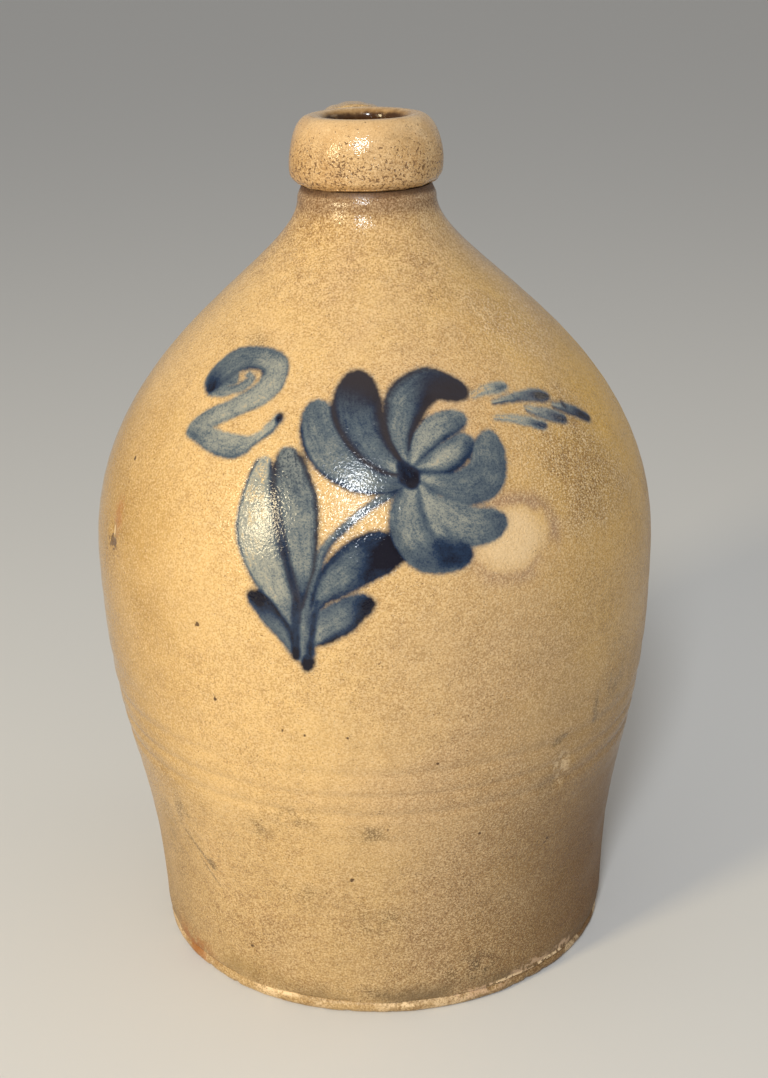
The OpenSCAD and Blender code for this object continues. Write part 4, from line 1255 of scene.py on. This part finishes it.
class JUG_OT_collar(bpy.types.Operator):
    """Roll the heavy collar round the end of the neck"""
    bl_idname = "jug.collar"
    bl_label = "Collar"
    bl_options = {"REGISTER", "UNDO"}

    def execute(self, context):
        s = context.scene.jug_shape
        base, rim, neck = s.collar_height / MM, s.rim_height / MM, s.neck_radius / MM
        widest, crest, throat = s.collar_radius / MM, s.crest_radius / MM, s.throat_radius / MM
        start, bore = neck - 0.8, neck - s.wall_thickness / MM
        under = [(start, base), (start + 0.9 * (widest - start), base + 1.6),
                 (widest, base + 4), (widest, base + 8)]
        over = [(widest, base + 8), (widest, base + 17), (crest + 0.55 * (widest - crest), rim),
                (crest, rim)]
        mouth = [(crest - (crest - throat) * math.sin(a) ** MOUTH_ROUNDNESS,
                  rim - MOUTH_DROP * (1 - math.cos(a) ** MOUTH_ROUNDNESS)) for a in arc(0, 90, 16)[1:]]
        straight = [(throat, rim - MOUTH_DROP - THROAT_LENGTH * i / 12) for i in range(1, 12)]
        points = (side_of(under, 26) + side_of(over, 30)[1:] + mouth + straight
                  + [(throat, base + 4), (bore - LINING_THICKNESS, base)]
                  + lute((neck - NECK_TAPER + bore) / 2, base)[::-1])
        bm = spun(points, 288)
        worked(bm, ragged, thrown)
        piece("rolled_collar", bm, collar_material(), "lip_collar")
        return {"FINISHED"}


class JUG_OT_lining(bpy.types.Operator):
    """Pour the brown slip lining"""
    bl_idname = "jug.lining"
    bl_label = "Slip Lining"
    bl_options = {"REGISTER", "UNDO"}

    def execute(self, context):
        s = context.scene.jug_shape
        lower, upper = section()
        wall, floor, top = s.wall_thickness / MM, s.floor_thickness / MM, s.collar_height / MM
        bore = s.neck_radius / MM - wall

        def side(depth):
            wet = inside_of(lower, wall, floor, depth)
            pool = [(wet[0][0] * i / 10, floor + depth) for i in range(10)]
            return (pool + wet + side_of(upper, INSIDE_STEPS, wall + depth)[1:]
                    + [(bore - depth, top)])

        bm = spun(side(0.0) + side(LINING_THICKNESS)[::-1], 192)
        worked(bm, thrown)
        piece("poured_lining", bm, lining_material(), "slip_lining")
        return {"FINISHED"}


class JUG_OT_strap(bpy.types.Operator):
    """Pull the strap handle and press it on the collar and the shoulder"""
    bl_idname = "jug.strap"
    bl_label = "Strap Handle"
    bl_options = {"REGISTER", "UNDO"}

    def execute(self, context):
        s = context.scene.jug_shape
        rim, width, thick = s.rim_height / MM, s.strap_width / MM, s.strap_thickness / MM
        # The strap leaves the collar, arches over, lands on the shoulder and is pressed down along it
        landing_z, end_z, spread, thin = 246, 216, 36, 10
        root = Vector((s.collar_radius / MM - 8, rim - 6.5))
        landing = Vector((wall_radius(landing_z) + 2, landing_z))
        line = [root, root + Vector((28, 4.7)), Vector((97, 326)), landing]
        end, reach = Vector((wall_radius(end_z) - 5.5, end_z)), 0.94
        lean = (wall_radius(end_z + reach) - wall_radius(end_z - reach)) / (2 * reach)
        down = Vector((-lean, -1)).normalized()
        tail = [landing, landing + 6 * bezier(line, 1)[1], end - 13.5 * down, end]
        rows = []
        for i in range(91):
            t = i / 90
            press = min(1, 0.6 + 0.4 * t / 0.06)
            rows.append((*bezier(line, t), width + (spread - width) * t ** 4,
                         (thick + (thin - thick) * t) * press, t))
        for i in range(1, 31):
            t = i / 30
            rows.append((*bezier(tail, t), spread * (1 - 0.35 * t * t), thin * (1 - 0.3 * t), 1 + t))
        bm = bmesh.new()
        bmesh.ops.create_circle(bm, cap_ends=True, segments=56, radius=1.0)
        around = [vert.co.copy() for vert in bm.verts]
        cap = bm.faces[:]
        for k, (place, way, wide, deep, t) in enumerate(rows):
            if k:
                made = bmesh.ops.extrude_face_region(bm, geom=cap, use_keep_orig=(k == 1))
                cap = [e for e in made["geom"] if isinstance(e, bmesh.types.BMFace)]
            for (c, n, _), vert in zip(around, cap[0].verts):
                x = wide / 2 * math.copysign(abs(c) ** 0.85, c)
                # Two shallow grooves left by the fingers that pulled the strap, and a thumb's dent
                groove = 0.55 * (math.exp(-((abs(c) - 0.42) / 0.14) ** 2)) * min(1.0, t * 6)
                thumb = 1.6 * math.exp(-((t - 1.45) / 0.28) ** 2 - (c / 0.45) ** 2)
                out = n * deep / 2 - (groove + thumb if n > 0 else 0.4 * groove) * abs(n)
                wave = noise.noise(Vector((x / 30, place.x / 26, place.y / 26))) * 0.35
                out -= wave * (1 if n > 0 else -1) * abs(n)
                # The crown stays level with the rim
                level = min(place.y + way.x * out, rim)
                vert.co = (x * (1 - 0.02 * wave), place.x - way.y * out, level)
        piece("pulled_strap", bm, stoneware_material(), "handle_strap")
        return {"FINISHED"}


class JUG_OT_cobalt(bpy.types.Operator):
    """Brush the petals, the leaves, the feather and the numeral on the wall"""
    bl_idname = "jug.cobalt"
    bl_label = "Brushed Cobalt"
    bl_options = {"REGISTER", "UNDO"}

    def execute(self, context):
        for node in MOTIFS:
            brushed(node.replace("cobalt", "brushed"), node)
        return {"FINISHED"}


# Lamps: the name, which is also the setting of its power, then place, aim, size and colour
LAMPS = (("window", (-0.43, -1.53, 1.28), (0.0, -0.09, 0.24), (0.24, 0.54), (0.92, 0.96, 1.0)),
         ("key", (-1.20, -0.87, 0.75), (0.0, 0.0, 0.19), (0.24, 0.46), (1.0, 0.82, 0.50)),
         ("side", (1.12, 0.10, 0.90), (0.0, 0.0, 0.25), (0.40, 0.40), (1.0, 0.90, 0.72)))


class JUG_OT_stage(bpy.types.Operator):
    """Lay the pale floor, hang the lamps and stand the camera"""
    bl_idname = "jug.stage"
    bl_label = "Stage"
    bl_options = {"REGISTER", "UNDO"}

    def execute(self, context):
        g = context.scene.jug_stage
        things = context.scene.collection.objects
        bm = bmesh.new()
        bmesh.ops.create_grid(bm, x_segments=2, y_segments=2, size=10.0)
        mesh = bpy.data.meshes.new("floor")
        bm.to_mesh(mesh)
        bm.free()
        floor = bpy.data.objects.new("floor", mesh)
        things.link(floor)
        mesh.materials.append(plain_material("Pale Floor", g.floor, 0.9))

        world = bpy.data.worlds.new("Even Light")
        world.use_nodes = True
        sky = next(n for n in world.node_tree.nodes if n.type == "BACKGROUND")
        sky.inputs["Color"].default_value = (1.0, 0.98, 0.95, 1.0)
        sky.inputs["Strength"].default_value = g.sky
        context.scene.world = world

        for name, place, aim, size, rgb in LAMPS:
            data = bpy.data.lights.new(name, "AREA")
            data.shape, data.size, data.size_y = "RECTANGLE", *size
            data.energy, data.color = getattr(g, name), rgb
            lamp = bpy.data.objects.new(name, data)
            lamp.location = place
            lamp.rotation_euler = (Vector(aim) - Vector(place)).to_track_quat("-Z", "Y").to_euler()
            things.link(lamp)

        camera = bpy.data.cameras.new("camera")
        camera.sensor_fit = "VERTICAL"
        camera.sensor_height = 36.0
        camera.lens = g.lens
        camera.clip_start, camera.clip_end = 0.01, 50.0
        heading, pitch, roll = g.camera_turn
        stand = bpy.data.objects.new("camera", camera)
        stand.matrix_world = (Matrix.Translation(g.camera_place) @ Matrix.Rotation(-heading, 4, "Z")
                              @ Matrix.Rotation(math.pi / 2 - pitch, 4, "X")
                              @ Matrix.Rotation(roll, 4, "Z"))
        things.link(stand)
        context.scene.camera = stand
        context.scene.view_settings.view_transform = "Standard"
        return {"FINISHED"}


STEPS = (JUG_OT_foot, JUG_OT_lower_wall, JUG_OT_shoulder, JUG_OT_collar, JUG_OT_lining,
         JUG_OT_strap, JUG_OT_cobalt, JUG_OT_stage)
SETTINGS = {"jug_shape": JugShape, "jug_glaze": JugGlaze, "jug_cobalt": JugCobalt,
            "jug_stage": JugStage}


class JUG_PT_panel(bpy.types.Panel):
    """The jug's sizes, colours and pieces"""
    bl_label = "Stoneware Jug"
    bl_idname = "JUG_PT_panel"
    bl_space_type = "VIEW_3D"
    bl_region_type = "UI"
    bl_category = "Jug"

    def draw(self, context):
        for operator in STEPS:
            self.layout.operator(operator.bl_idname)
        for name, group in SETTINGS.items():
            box = self.layout.box()
            for key in group.__annotations__:
                box.prop(getattr(context.scene, name), key)


def register():
    for group in SETTINGS.values():
        bpy.utils.register_class(group)
    for name, group in SETTINGS.items():
        setattr(bpy.types.Scene, name, PointerProperty(type=group))
    for operator in STEPS:
        bpy.utils.register_class(operator)
    bpy.utils.register_class(JUG_PT_panel)


def unregister():
    bpy.utils.unregister_class(JUG_PT_panel)
    for operator in reversed(STEPS):
        bpy.utils.unregister_class(operator)
    for name, group in reversed(SETTINGS.items()):
        delattr(bpy.types.Scene, name)
        bpy.utils.unregister_class(group)


def main():
    register()
    for operator in STEPS:
        group, step_name = operator.bl_idname.split(".")
        getattr(getattr(bpy.ops, group), step_name)()


if __name__ == "__main__":
    main()
